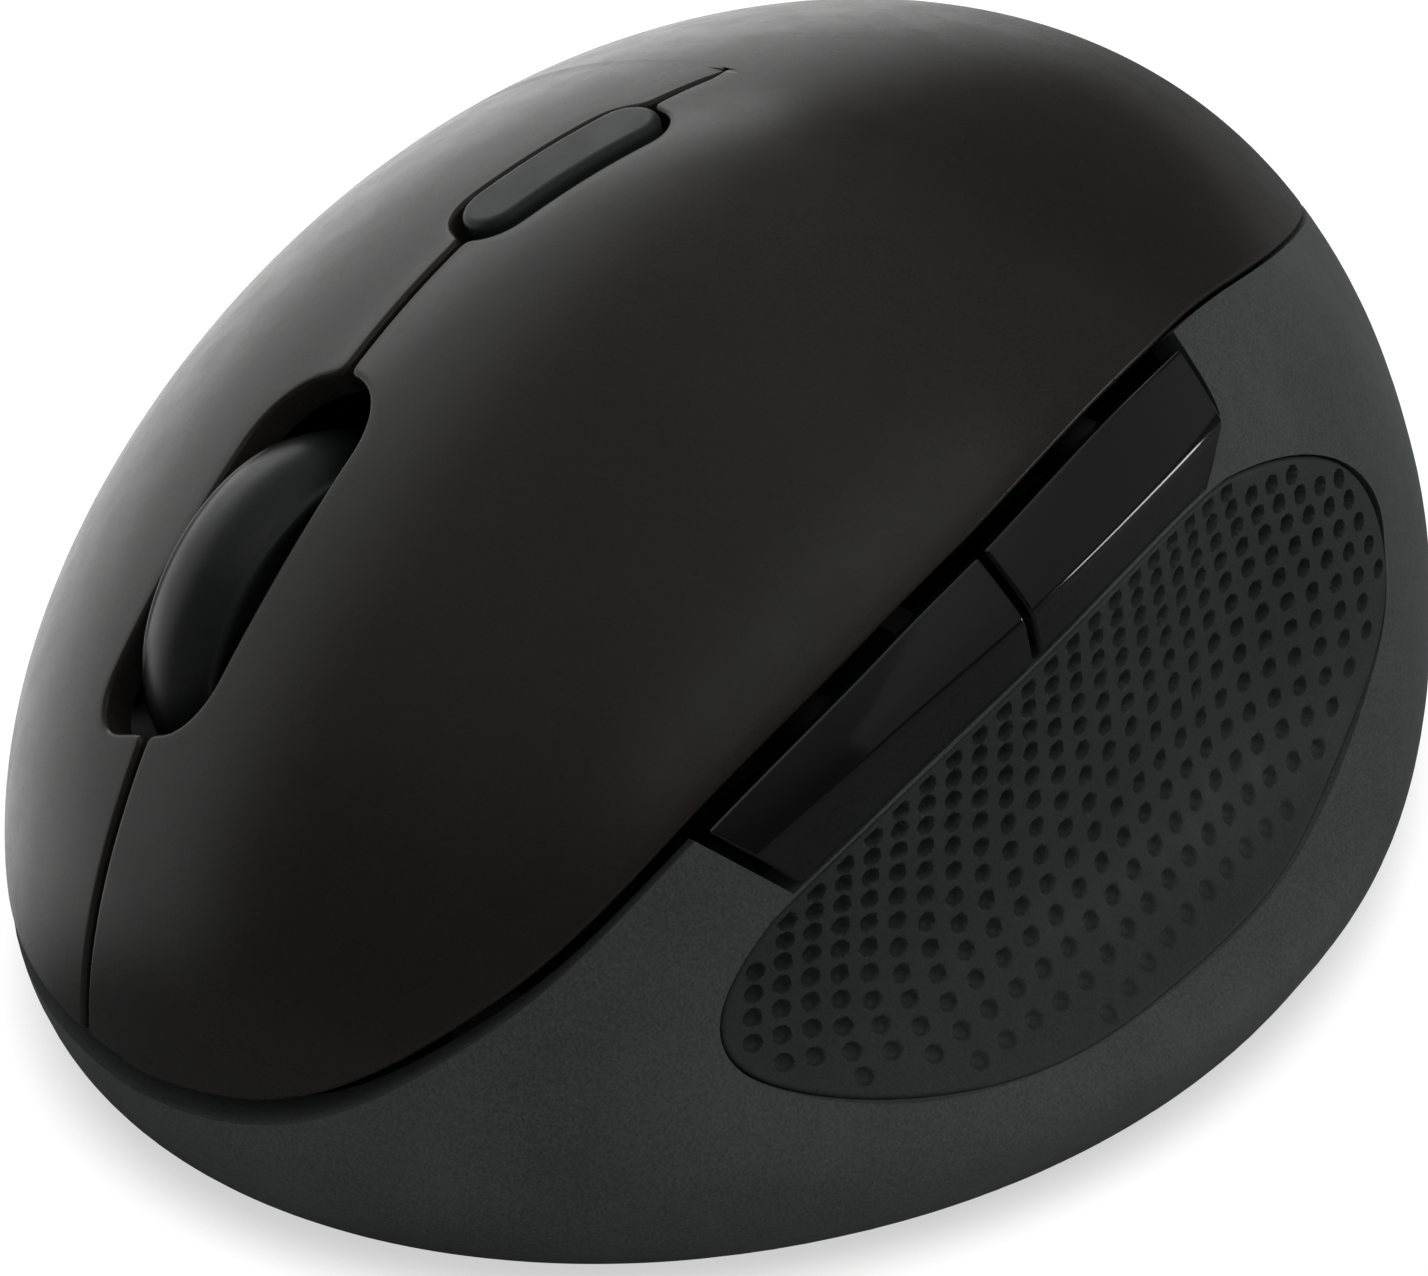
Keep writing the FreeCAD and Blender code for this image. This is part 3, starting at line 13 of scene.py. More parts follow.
import bmesh
import bpy
import numpy as np
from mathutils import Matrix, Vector


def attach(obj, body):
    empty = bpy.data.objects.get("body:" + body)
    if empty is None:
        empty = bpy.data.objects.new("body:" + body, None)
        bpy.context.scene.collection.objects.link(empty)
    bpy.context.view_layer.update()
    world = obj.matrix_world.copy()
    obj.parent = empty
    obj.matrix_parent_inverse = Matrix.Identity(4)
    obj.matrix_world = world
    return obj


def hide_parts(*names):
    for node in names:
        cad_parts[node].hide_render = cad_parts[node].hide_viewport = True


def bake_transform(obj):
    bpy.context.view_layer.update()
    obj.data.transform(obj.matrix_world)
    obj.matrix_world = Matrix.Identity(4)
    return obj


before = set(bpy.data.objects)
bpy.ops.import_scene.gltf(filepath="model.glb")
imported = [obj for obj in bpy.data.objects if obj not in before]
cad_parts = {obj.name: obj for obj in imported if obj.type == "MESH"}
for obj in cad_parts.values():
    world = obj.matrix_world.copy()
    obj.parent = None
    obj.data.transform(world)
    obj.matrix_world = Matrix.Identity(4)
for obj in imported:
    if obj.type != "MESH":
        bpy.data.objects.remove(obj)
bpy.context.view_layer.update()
LOG = logging.getLogger("mouse")
MM = 0.001


# --------------------------------------------------------------------- finishes


class Pattern(Enum):
    """How a finish varies over its surface."""

    SPECKLE = "fine speckle"
    GRAIN = "moulded grain"
    SMOOTH = "smooth with faint smears"
    BRUSHED = "drawn lines"


@dataclass(frozen=True)
class Finish:
    """A plastic, rubber or metal finish made of nodes.

    Lengths are in millimetres: the size of the grain and its height.  A noise
    scale is in cells per metre.
    """

    BROAD_SCALE = 90.0
    WEAR_SCALE = 420.0
    FINE_SHARE = 0.65
    TONE_SPREAD = (0.36, 0.64)
    WEAR_SPREAD = (0.3, 0.7)
    ROUGHNESS_SWING = 0.12
    DRAWN_STRETCH = 0.04

    name: str
    colour: tuple[float, float, float]
    roughness: float
    pattern: Pattern = Pattern.GRAIN
    grain: float = 0.12
    relief: float = 0.004
    shift: float = 0.12
    metallic: float = 0.0
    specular: float = 0.5
    coat: float = 0.0
    coat_roughness: float = 0.1
    sheen: float = 0.0
    sheen_roughness: float = 0.4
    transmission: float = 0.0

    def material(self) -> bpy.types.Material:
        """The material of this finish, made once.

        Returns:
            The material.
        """
        found = bpy.data.materials.get(self.name)
        if found:
            return found
        made = bpy.data.materials.new(self.name)
        made.use_nodes = True
        nodes, links = made.node_tree.nodes, made.node_tree.links
        shader = nodes["Principled BSDF"]
        for name, value in (("Metallic", self.metallic), ("Specular IOR Level", self.specular),
                            ("Coat Weight", self.coat), ("Coat Roughness", self.coat_roughness),
                            ("Sheen Weight", self.sheen), ("Sheen Roughness", self.sheen_roughness),
                            ("Transmission Weight", self.transmission)):
            shader.inputs[name].default_value = value
        place = nodes.new("ShaderNodeTexCoord")
        turn = nodes.new("ShaderNodeMapping")
        if self.pattern is Pattern.BRUSHED:
            turn.inputs["Scale"].default_value = (1.0, self.DRAWN_STRETCH, 1.0)
        links.new(place.outputs["Object"], turn.inputs["Vector"])
        fine, broad, wear = (nodes.new("ShaderNodeTexNoise") for _ in range(3))
        for node, scale, detail in ((fine, 1.0 / (self.grain * MM), 2.0), (broad, self.BROAD_SCALE, 4.0),
                                    (wear, self.WEAR_SCALE, 6.0)):
            node.inputs["Scale"].default_value = scale
            node.inputs["Detail"].default_value = detail
            links.new(turn.outputs["Vector"], node.inputs["Vector"])
        tint = nodes.new("ShaderNodeMix")
        tint.data_type = "RGBA"
        dark = tuple(c * (1 - self.shift) for c in self.colour) + (1.0,)
        light = tuple(min(1.0, c * (1 + self.shift)) for c in self.colour) + (1.0,)
        tint.inputs["A"].default_value = dark
        tint.inputs["B"].default_value = light
        blend = nodes.new("ShaderNodeMath")
        blend.operation = "MULTIPLY_ADD"
        blend.inputs[1].default_value = self.FINE_SHARE
        rest = nodes.new("ShaderNodeMath")
        rest.operation = "MULTIPLY"
        rest.inputs[1].default_value = 1 - self.FINE_SHARE
        links.new(broad.outputs["Fac"], rest.inputs[0])
        links.new(fine.outputs["Fac"], blend.inputs[0])
        links.new(rest.outputs["Value"], blend.inputs[2])
        spread = nodes.new("ShaderNodeMapRange")
        spread.inputs["From Min"].default_value, spread.inputs["From Max"].default_value = self.TONE_SPREAD
        links.new(blend.outputs["Value"], spread.inputs["Value"])
        links.new(spread.outputs["Result"], tint.inputs["Factor"])
        links.new(tint.outputs["Result"], shader.inputs["Base Color"])
        rough = nodes.new("ShaderNodeMapRange")
        rough.inputs["From Min"].default_value, rough.inputs["From Max"].default_value = self.WEAR_SPREAD
        rough.inputs["To Min"].default_value = max(0.02, self.roughness * (1 - self.ROUGHNESS_SWING))
        rough.inputs["To Max"].default_value = min(1.0, self.roughness * (1 + self.ROUGHNESS_SWING))
        links.new(wear.outputs["Fac"], rough.inputs["Value"])
        links.new(rough.outputs["Result"], shader.inputs["Roughness"])
        bump = nodes.new("ShaderNodeBump")
        bump.inputs["Strength"].default_value = 1.0
        bump.inputs["Distance"].default_value = self.relief * MM
        links.new(fine.outputs["Fac"], bump.inputs["Height"])
        links.new(bump.outputs["Normal"], shader.inputs["Normal"])
        made.diffuse_color = self.colour + (1.0,)
        return made


COVER = Finish("satin_skin", (0.0116, 0.0104, 0.0097), 0.27, Pattern.SPECKLE, 0.16, 0.0014, 0.16, specular=0.3)
SHELL = Finish("soft_shell", (0.0365, 0.038, 0.0387), 0.66, Pattern.SPECKLE, 0.16, 0.007, 0.3, specular=0.3, sheen=0.04)
GLOSS = Finish("gloss_button", (0.0022, 0.0023, 0.0023), 0.11, Pattern.SMOOTH, 0.4, 0.0003, 0.1, coat=0.3,
               coat_roughness=0.05)
SATIN = Finish("satin_button", (0.0135, 0.0143, 0.0147), 0.42, Pattern.GRAIN, 0.14, 0.003, 0.12, specular=0.2)
GRIP = Finish("dimpled_rubber", (0.0185, 0.0195, 0.02), 0.58, Pattern.GRAIN, 0.13, 0.006, 0.3, specular=0.28)
FLANK = Finish("button_flank", (0.0055, 0.0058, 0.006), 0.55, Pattern.SPECKLE, 0.13, 0.008, 0.5, specular=0.35)
TYRE = Finish("wheel_rubber", (0.0078, 0.0084, 0.0084), 0.4, Pattern.GRAIN, 0.15, 0.003, 0.25, specular=0.35)
INNER = Finish("inner_plastic", (0.008, 0.008, 0.008), 0.6, Pattern.GRAIN, 0.2, 0.006, 0.2)
BASE = Finish("base_plastic", (0.014, 0.014, 0.0145), 0.55, Pattern.GRAIN, 0.16, 0.006, 0.15)
SKATE = Finish("foot_plastic", (0.03, 0.03, 0.031), 0.3, Pattern.SMOOTH, 0.5, 0.001, 0.1)
BOARD = Finish("board_lacquer", (0.01, 0.07, 0.02), 0.35, Pattern.SMOOTH, 0.4, 0.002, 0.2)
CASE = Finish("switch_case", (0.012, 0.012, 0.012), 0.4, Pattern.GRAIN, 0.2, 0.003, 0.15)
PIN = Finish("pin_plastic", (0.72, 0.72, 0.7), 0.4, Pattern.SMOOTH, 0.3, 0.001, 0.05)
LENS = Finish("lens_plastic", (0.8, 0.83, 0.85), 0.08, Pattern.SMOOTH, 0.4, 0.0003, 0.03, transmission=0.85)
SLEEVE = Finish("cell_sleeve", (0.2, 0.21, 0.22), 0.3, Pattern.BRUSHED, 0.3, 0.001, 0.1, metallic=0.5)
NICKEL = Finish("nickel", (0.62, 0.61, 0.58), 0.28, Pattern.BRUSHED, 0.2, 0.001, 0.08, metallic=1.0)
STEEL = Finish("zinc_steel", (0.5, 0.5, 0.5), 0.34, Pattern.BRUSHED, 0.2, 0.001, 0.1, metallic=1.0)

NODE_FINISH: dict[str, Finish] = {
    "palm_cover": COVER, "left_key": COVER, "right_key": COVER, "side_shell": SHELL, "thumb_grip": GRIP,
    "forward_button": GLOSS, "back_button": GLOSS, "dpi_button": SATIN, "wheel_tyre": TYRE, "wheel_hub": INNER,
    "wheel_carrier": INNER, "wheel_tower": INNER, "wheel_encoder": CASE, "base_plate": BASE, "battery_door": BASE,
    "main_board": BOARD, "side_board": BOARD, "dpi_board": BOARD, "sensor_chip": CASE, "controller_chip": CASE,
    "sensor_lens": LENS, "round_cell": SLEEVE, "cell_contact": NICKEL, "cell_spring": NICKEL, "power_switch": NICKEL,
    "power_slider": SATIN, "receiver_cap": BASE, "receiver_plug": NICKEL, "front_skate": SKATE, "back_skates": SKATE,
    "housing_screws": STEEL, "board_screws": STEEL,
}


def dress_nodes() -> None:
    """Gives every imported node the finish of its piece."""
    for name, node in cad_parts.items():
        finish = NODE_FINISH.get(name)
        if finish is None:
            finish = PIN if name.endswith("_plunger") and not name.startswith(("forward", "back")) else CASE
        for slot in node.material_slots:
            slot.material = finish.material()
        if not node.material_slots:
            node.data.materials.append(finish.material())
    LOG.info("dressed %d nodes", len(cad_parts))


# ------------------------------------------------------------------- mesh tools


Points = np.ndarray
Surface = Callable[[np.ndarray, np.ndarray], Points]
TURN = 2 * math.pi


def bisect(miss: Callable[[np.ndarray], np.ndarray], low: np.ndarray, high: np.ndarray,
           steps: int = 34) -> np.ndarray:
    """Halves an interval towards the place where a rising function crosses zero.

    Args:
        miss: the function, negative below the place and positive above it.
        low: lower ends of the intervals.
        high: upper ends of the intervals.
        steps: number of halvings.

    Returns:
        The places.
    """
    low, high = np.array(low, float), np.array(high, float)
    for _ in range(steps):
        middle = (low + high) / 2
        over = miss(middle) > 0
        high, low = np.where(over, middle, high), np.where(over, low, middle)
    return (low + high) / 2


def lengths(real: Points) -> np.ndarray:
    """Length of a path up to each of its points."""
    return np.concatenate([[0.0], np.cumsum(np.linalg.norm(np.diff(real, axis=0), axis=1))])


def points_at(path: Points, real: Points, at: np.ndarray) -> Points:
    """Picks points of a path at given places along its real length.

    Args:
        path: points in the surface's own parameters, (n, 2).
        real: the same points in space, (n, 3).
        at: the places, in millimetres from its start.

    Returns:
        The points, (len(at), 2).
    """
    run = lengths(real)
    return np.stack([np.interp(at, run, path[:, 0]), np.interp(at, run, path[:, 1])], axis=1)


def even_points(path: Points, real: Points, count: int) -> Points:
    """Picks points of a path at equal steps of its real length, (count, 2)."""
    return points_at(path, real, np.linspace(0.0, lengths(real)[-1], count))


def soften(path: Points, spread: float, closed: bool) -> Points:
    """Rounds the corners of a path with a bell-shaped average over its neighbours.

    Args:
        path: the points, (n, 2).
        spread: width of the bell, in points.
        closed: whether the path comes back to its start; the ends of an open one stay.

    Returns:
        The rounded path.
    """
    reach = int(math.ceil(3 * spread))
    bell = np.exp(-0.5 * (np.arange(-reach, reach + 1) / spread) ** 2)
    bell /= bell.sum()
    if closed:
        longer = np.concatenate([path[-reach:], path, path[:reach]])
    else:
        head, tail = 2 * path[:1] - path[reach:0:-1], 2 * path[-1:] - path[-2:-reach - 2:-1]
        longer = np.concatenate([head, path, tail])
    return np.stack([np.convolve(longer[:, k], bell, "valid") for k in (0, 1)], axis=1)


def slopes(surface: Surface, place: Points) -> tuple[Points, Points, Points]:
    """Works out a surface's two slopes and its normal by small steps either way.

    Args:
        surface: the surface as a function of two parameters.
        place: parameters, (..., 2).

    Returns:
        The slope along each parameter and the unit normal.
    """
    step = 1e-4
    a, b = place[..., 0], place[..., 1]
    along = (surface(a + step, b) - surface(a - step, b)) / (2 * step)
    across = (surface(a, b + step) - surface(a, b - step)) / (2 * step)
    normal = np.cross(along, across)
    return along, across, normal / np.linalg.norm(normal, axis=-1, keepdims=True)


def quads(rows: int, columns: int, start: int, ring: bool = False) -> np.ndarray:
    """Corners of the quads of a grid of points stored row by row.

    Args:
        rows: number of rows.
        columns: number of columns.
        start: index of the grid's first point.
        ring: whether the last column meets the first.

    Returns:
        Indices, (quads, 4).
    """
    index = start + np.arange(rows * columns).reshape(rows, columns)
    if ring:
        index = np.concatenate([index, index[:, :1]], axis=1)
    corners = (index[:-1, :-1], index[:-1, 1:], index[1:, 1:], index[1:, :-1])
    return np.stack(corners, axis=-1).reshape(-1, 4)


@dataclass
class Mesh:
    """Points and quads gathered from several grids."""

    MERGE = 2e-6
    TINY = 1e-7

    points: list[Points] = field(default_factory=list)
    faces: list[np.ndarray] = field(default_factory=list)

    def add(self, grid: Points, ring: bool = False) -> None:
        """Adds a grid of points, (rows, columns, 3), in millimetres."""
        start = sum(len(p) for p in self.points)
        self.faces.append(quads(grid.shape[0], grid.shape[1], start, ring))
        self.points.append(grid.reshape(-1, 3))

    def build(self, name: str, finish: Finish, sharp: float = 38.0) -> bpy.types.Object:
        """Makes the object, with its doubles merged and its holes closed.

        Args:
            name: the piece's name.
            finish: its finish.
            sharp: edges that turn more than this many degrees stay sharp.

        Returns:
            The object.
        """
        points, faces = np.concatenate(self.points) * MM, np.concatenate(self.faces)
        mesh = bpy.data.meshes.new(name)
        mesh.from_pydata(points, [], faces)
        shape = bmesh.new()
        shape.from_mesh(mesh)
        bmesh.ops.remove_doubles(shape, verts=shape.verts, dist=self.MERGE)
        bmesh.ops.dissolve_degenerate(shape, edges=shape.edges, dist=self.TINY)
        bmesh.ops.holes_fill(shape, edges=[e for e in shape.edges if e.is_boundary], sides=0)
        bmesh.ops.recalc_face_normals(shape, faces=shape.faces)
        shape.to_mesh(mesh)
        shape.free()
        mesh.shade_smooth()
        mesh.set_sharp_from_angle(angle=math.radians(sharp))
        mesh.materials.append(finish.material())
        made = bpy.data.objects.new(name, mesh)
        bpy.context.scene.collection.objects.link(made)
        LOG.info("%s: %d faces", name, len(mesh.polygons))
        return made

    @staticmethod
    def dress(made: bpy.types.Object, finish: Finish, where: Callable[[Points], np.ndarray]) -> None:
        """Gives some of an object's faces another finish.

        Args:
            made: the object.
            finish: the other finish.
            where: tells from the faces' middles, in millimetres, which ones get it.
        """
        faces = made.data.polygons
        middles, index = np.empty(len(faces) * 3), np.empty(len(faces), np.int32)
        faces.foreach_get("center", middles)
        faces.foreach_get("material_index", index)
        made.data.materials.append(finish.material())
        index[where(middles.reshape(-1, 3) / MM)] = len(made.data.materials) - 1
        faces.foreach_set("material_index", index)


class Rails(Enum):
    """How the two rails of a moulded wall meet."""

    RING = "they meet in a smooth bend at both ends"
    ENDED = "straight ends join them"
    ROOTED = "they meet at the far end and stand on the root at the near end"
    SPLIT = "both ends stand on the root"


@dataclass
class MouldedSkin:
    """A moulded wall on a surface, with rolled edges, between two rails.

    Every row of the outside is a straight blend of the rails in the surface's
    own parameters.  Along the border the section is a quarter circle that
    turns from the surface to the wall, then the wall down to the inside.
    """

    TIP_REACH = 6.0

    surface: Surface
    low: Points
    high: Points
    rows: int
    thick: float
    radius: float = 0.3
    rails: Rails = Rails.RING
    rounding: float = 1.6
    rolled: Optional[np.ndarray] = None
    relief: Optional[Callable[[np.ndarray, np.ndarray], np.ndarray]] = None
    under_rows: Optional[int] = None

    def into(self, mesh: Mesh) -> None:
        """Adds the wall to a mesh."""
        count, rows = len(self.low), self.rows
        rolled = np.ones(len(self.high)) if self.rolled is None else self.rolled
        ones = np.ones(count)
        if self.rails is Rails.ENDED:
            share = np.linspace(0, 1, rows)[:, None]
            right = self.low[-1] + share * (self.high[-1] - self.low[-1])
            left = self.low[0] + share * (self.high[0] - self.low[0])
            path = np.concatenate([self.low[:-1], right[:-1], self.high[:0:-1], left[:0:-1]])
            inset, path = self._border(mesh, path, np.ones(len(path)), True)
        elif self.rails is Rails.RING:
            path = np.concatenate([self.low, self.high[-2:0:-1]])
            inset, path = self._border(mesh, path, np.concatenate([ones, rolled[-2:0:-1]]), True)
        elif self.rails is Rails.ROOTED:
            path = np.concatenate([self.low, self.high[-2::-1]])
            inset, path = self._border(mesh, path, np.concatenate([ones, rolled[-2::-1]]), False)
            inset = self._closed_up(inset, path, count)
        else:
            low_in, low = self._border(mesh, self.low, ones, False)
            high_in, high = self._border(mesh, self.high, rolled, False)
            inset = np.concatenate([low_in, high_in[::-1]])
            path = np.concatenate([low, high[::-1]])
            inset = self._closed_up(self._closed_up(inset, path, count), path, count, far=True)
        grid, edge = self._fill(inset, rows), self._fill(path, self.under_rows or rows)
        top = self.surface(grid[..., 0], grid[..., 1])
        if self.relief is not None:
            height = self.relief(grid[..., 0], grid[..., 1])
            top = top + height[..., None] * slopes(self.surface, grid)[2]
        mesh.add(top)
        mesh.add(self.surface(edge[..., 0], edge[..., 1]) - self.thick * slopes(self.surface, edge)[2])

    def _border(self, mesh: Mesh, path: Points, rolled: np.ndarray, closed: bool) -> tuple[Points, Points]:
        """Adds the rolled edge and the wall along a border.

        Args:
            mesh: the mesh that gets them.
            path: the border, in the surface's parameters.
            rolled: share of the edge's radius at each of its points.
            closed: whether it comes back to its start.

        Returns:
            The line where the edge starts to turn, and the border, rounded.
        """
        path = soften(path, self.rounding, closed)
        real = self.surface(path[:, 0], path[:, 1])
        along, across, normal = slopes(self.surface, path)
        run = np.roll(real, -1, axis=0) - np.roll(real, 1, axis=0) if closed else np.gradient(real, axis=0)
        run /= np.linalg.norm(run, axis=1, keepdims=True)
        out = np.cross(run, normal)
        middle = (self.low.mean(axis=0) + self.high.mean(axis=0)) / 2
        heart = self.surface(middle[:1], middle[1:])
        if np.sum(out * (real - heart)) < 0:
            out = -out
        radius = self.radius * rolled
        inset = path + self._step(along, across, -radius[:, None] * out)
        start = self.surface(inset[:, 0], inset[:, 1])
        foot = real - self.thick * normal
        turn = np.radians(np.linspace(0, 90, 6))[:, None, None]
        roll = start + np.sin(turn) * (real - start) - (1 - np.cos(turn)) * radius[:, None] * normal
        wall = roll[-1] + np.array([0.5, 1.0])[:, None, None] * (foot - roll[-1])
        mesh.add(np.concatenate([roll, wall]), ring=closed)
        return inset, path

    def _closed_up(self, inset: Points, path: Points, count: int, far: bool = False) -> Points:
        """Moves the plain rail's end to the place where the rolled edge starts."""
        real = self.surface(path[:, 0], path[:, 1])
        inset = inset.copy()
        last = len(path) - 1
        target, tip, rail = (count - 1, count, 1) if far else (0, last, -1)
        reach = np.clip(1 - np.linalg.norm(real[count:] - real[tip], axis=1) / self.TIP_REACH, 0, 1)
        inset[count:] += reach[:, None] * (inset[target] - path[tip])
        return inset

    def _step(self, along: Points, across: Points, move: Points) -> Points:
        """The change of parameters that moves a point of the surface by a small step."""
        aa, ab, bb = (np.sum(u * v, axis=1) for u, v in ((along, along), (along, across), (across, across)))
        ma, mb = np.sum(along * move, axis=1), np.sum(across * move, axis=1)
        span = aa * bb - ab * ab
        return np.stack([(bb * ma - ab * mb) / span, (aa * mb - ab * ma) / span], axis=1)

    def _fill(self, path: Points, rows: int) -> Points:
        """Blends the border into a grid of parameters, (rows, columns, 2)."""
        count = len(self.low)
        v = np.linspace(0, 1, rows)[:, None, None]
        low = path[:count]
        if self.rails is Rails.ENDED:
            right = path[count - 1:count + rows - 1]
            high = path[count + rows - 2:2 * count + rows - 2][::-1]
            left = np.concatenate([path[:1], path[2 * count + rows - 3:][::-1]])[:rows]
            u = np.linspace(0, 1, count)[None, :, None]
            sides = (1 - u) * left[:, None] + u * right[:, None]
            corners = (1 - u) * ((1 - v) * low[0] + v * high[0]) + u * ((1 - v) * low[-1] + v * high[-1])
            return (1 - v) * low + v * high + sides - corners
        if self.rails is Rails.RING:
            high = np.concatenate([path[:1], path[count:][::-1], path[count - 1:count]])
        elif self.rails is Rails.ROOTED:
            high = path[count - 1:][::-1]
        else:
            high = path[count:][::-1]
        return (1 - v) * low + v * high


def turned(axis: Points, start: Points, profile: Points, count: int = 96) -> Points:
    """A profile (along the axis, radius) carried round an axis.

    Args:
        axis: unit direction of the axis.
        start: a point on it.
        profile: the section, (n, 2).
        count: number of steps round.

    Returns:
        The points, (n, count, 3).
    """
    side = np.cross(axis, (0.0, 0.0, 1.0) if abs(axis[2]) < 0.9 else (0.0, 1.0, 0.0))
    side /= np.linalg.norm(side)
    other = np.cross(axis, side)
    turn = np.arange(count) / count * TURN
    round_ = np.cos(turn)[:, None] * side + np.sin(turn)[:, None] * other
    return start + profile[:, None, :1] * axis + profile[:, None, 1:] * round_[None]


def rounded_rod(length: float, radius: float, edge: float) -> Points:
    """The section of a rod with rounded ends, from its start to its end."""
    turn = np.radians(np.linspace(0, 90, 5))
    head = np.stack([edge * (1 - np.cos(turn)), radius - edge + edge * np.sin(turn)], axis=1)
    tail = np.stack([length - head[::-1, 0], head[::-1, 1]], axis=1)
    return np.concatenate([[[0.0, 1e-4]], head, tail, [[length, 1e-4]]])


# ------------------------------------------------------------------------- form


@dataclass(frozen=True)
class EggForm:
    """The mouse's outer form, drawn with the same sizes as its solids.

    The outline at a level is an ellipse whose radius varies with the
    direction; the level is an angle, 0 where the form is widest and 90
    degrees at the crown.
    """

    length: float = 89.0
    width: float = 69.5
    height: float = 44.0
    widest: float = 8.0
    tuck: float = 0.12
    middle_x: float = -0.75
    middle_y: float = -0.55
    crown_x: float = 1.52
    crown_y: float = -0.2
    fullness: float = -0.145
    lean_x: float = -0.063
    lean_y: float = 0.12
    skew: float = -0.044
    trefoil: float = 0.0202
    edge_heights: tuple[float, ...] = (34.8, 35.1, 34.45, 32.3, 29.0, 24.6, 20.0, 16.0, 12.5, 9.9, 8.0, 6.8,
                                       6.0, 5.7, 5.9, 6.4, 7.0, 7.6, 8.4, 11.2, 17.9, 26.0, 30.8, 33.4)
    crease_drop: float = 3.75
    wall_lean: float = 0.12
    lip: float = 8.0
    lip_height: float = 6.0
    lip_fade: float = 3.6
    softness: float = 1.0

    def edge_height(self, turn: np.ndarray) -> np.ndarray:
        """Height of the cover's edge in a direction, a smooth curve through the stations."""
        heights = np.array(self.edge_heights)
        share = (turn % TURN) / TURN * len(heights)
        first = np.floor(share).astype(int)
        t = share - first
        a, b, c, d = (heights[(first + k) % len(heights)] for k in (-1, 0, 1, 2))
        return b + 0.5 * t * (c - a + t * (2 * a - 5 * b + 4 * c - d + t * (3 * (b - c) + d - a)))

    def level(self, height: np.ndarray) -> np.ndarray:
        """Level angle of a height."""
        above = np.arcsin(np.clip((height - self.widest) / (self.height - self.widest), 0, 1))
        below = -np.arcsin(np.clip((self.widest - height) / self.widest, 0, 1))
        return np.where(height < self.widest, below, above)

    def ratio(self, turn: np.ndarray, level: np.ndarray) -> np.ndarray:
        """Share of the full outline in a direction at a level angle."""
        flat = np.where(level < 0, 1.0, np.cos(level))
        high = np.sin(np.maximum(level, 0.0))
        swell = high ** 2 * (self.fullness + flat * (self.lean_x * np.cos(turn) + self.lean_y * np.sin(turn)))
        skew = self.trefoil * np.cos(3 * turn) + self.skew * np.sin(2 * turn)
        return flat * (1 + swell + flat ** 2 * skew) * (1 - self.tuck * (1 - np.cos(np.minimum(level, 0.0))))

    def place(self, turn: np.ndarray, level: np.ndarray, ratio: np.ndarray, grow: float) -> Points:
        """The point in a direction at a level angle whose share of the outline is a ratio."""
        high = np.sin(np.maximum(level, 0.0))
        x = self.middle_x + self.crown_x * high ** 2 + (self.width / 2 + grow) * ratio * np.cos(turn)
        y = self.middle_y + self.crown_y * high ** 2 + (self.length / 2 + grow) * ratio * np.sin(turn)
        top = self.height + grow - self.widest
        z = self.widest + np.where(level < 0, self.widest * np.sin(level), top * high)
        return np.stack([x, y, z], axis=-1)

    def disc(self, grow: float = 0.0) -> Surface:
        """The full form over a disc: its radius is the angle down from the crown."""
        def surface(p: np.ndarray, q: np.ndarray) -> Points:
            turn, level = np.arctan2(q, p), math.pi / 2 - np.hypot(p, q)
            return self.place(turn, level, self.ratio(turn, level), grow)
        return surface

    def disc_of(self, turn: np.ndarray, height: np.ndarray) -> Points:
        """Disc parameters of a direction and a height."""
        down = math.pi / 2 - self.level(height)
        return np.stack([down * np.cos(turn), down * np.sin(turn)], axis=-1)

    def edge(self, turn: np.ndarray) -> Points:
        """Points of the cover's edge."""
        level = self.level(self.edge_height(turn))
        return self.place(turn, level, self.ratio(turn, level), 0.0)

    def fade(self, turn: np.ndarray, stops: tuple[float, float, float, float]) -> np.ndarray:
        """1 between the two middle directions, falling smoothly to 0 at the outer ones."""
        degrees = np.degrees((turn + math.pi) % TURN - math.pi)
        share = np.clip(np.minimum((degrees - stops[0]) / (stops[1] - stops[0]),
                                   (stops[3] - degrees) / (stops[3] - stops[2])), 0, 1)
        return share * share * (3 - 2 * share)

    def wall_reach(self, turn: np.ndarray, height: np.ndarray) -> np.ndarray:
        """Reach of the thumb wall: from its crease it leans out and ends in a flared lip."""
        crease = self.edge_height(turn) - self.crease_drop * self.fade(turn, (-78.0, -45.0, 24.0, 66.0))
        reach = self.ratio(turn, self.level(crease)) * self.width / 2 + self.wall_lean * (crease - height)
        return reach + self.lip * np.exp((self.lip_height - height) / self.lip_fade)

    def thumb(self, grow: float = 0.0, hollow: bool = True, soft: float = 1.0) -> Surface:
        """The thumb side over the side view: a point for each place along and height.

        Args:
            grow: how far it stands proud.
            hollow: whether the hollow fades out towards the nose and the heel.
            soft: rounding of the crease.

        Returns:
            The surface.
        """
        def at(turn: np.ndarray, z: np.ndarray) -> Points:
            level = self.level(z)
            full = self.ratio(turn, level)
            wall = (self.wall_reach(turn, np.maximum(z, 0.0)) + grow) / (self.width / 2 + grow)
            drawn = (full + wall) / 2 - np.sqrt((full - wall) ** 2 / 4 + (soft / self.width) ** 2)
            depth = self.fade(turn, (-84.0, -38.0, 10.0, 46.0)) if hollow else 1.0
            point = self.place(turn, level, full + (drawn - full) * depth, grow)
            point[..., 2] = z
            return point

        def surface(y: np.ndarray, z: np.ndarray) -> Points:
            y, z = np.broadcast_arrays(y, z)
            ends = np.full(y.shape, math.radians(88))
            turn = bisect(lambda t: at(t, z)[..., 1] - y, -ends, ends, 30)
            return at(turn, z)
        return surface

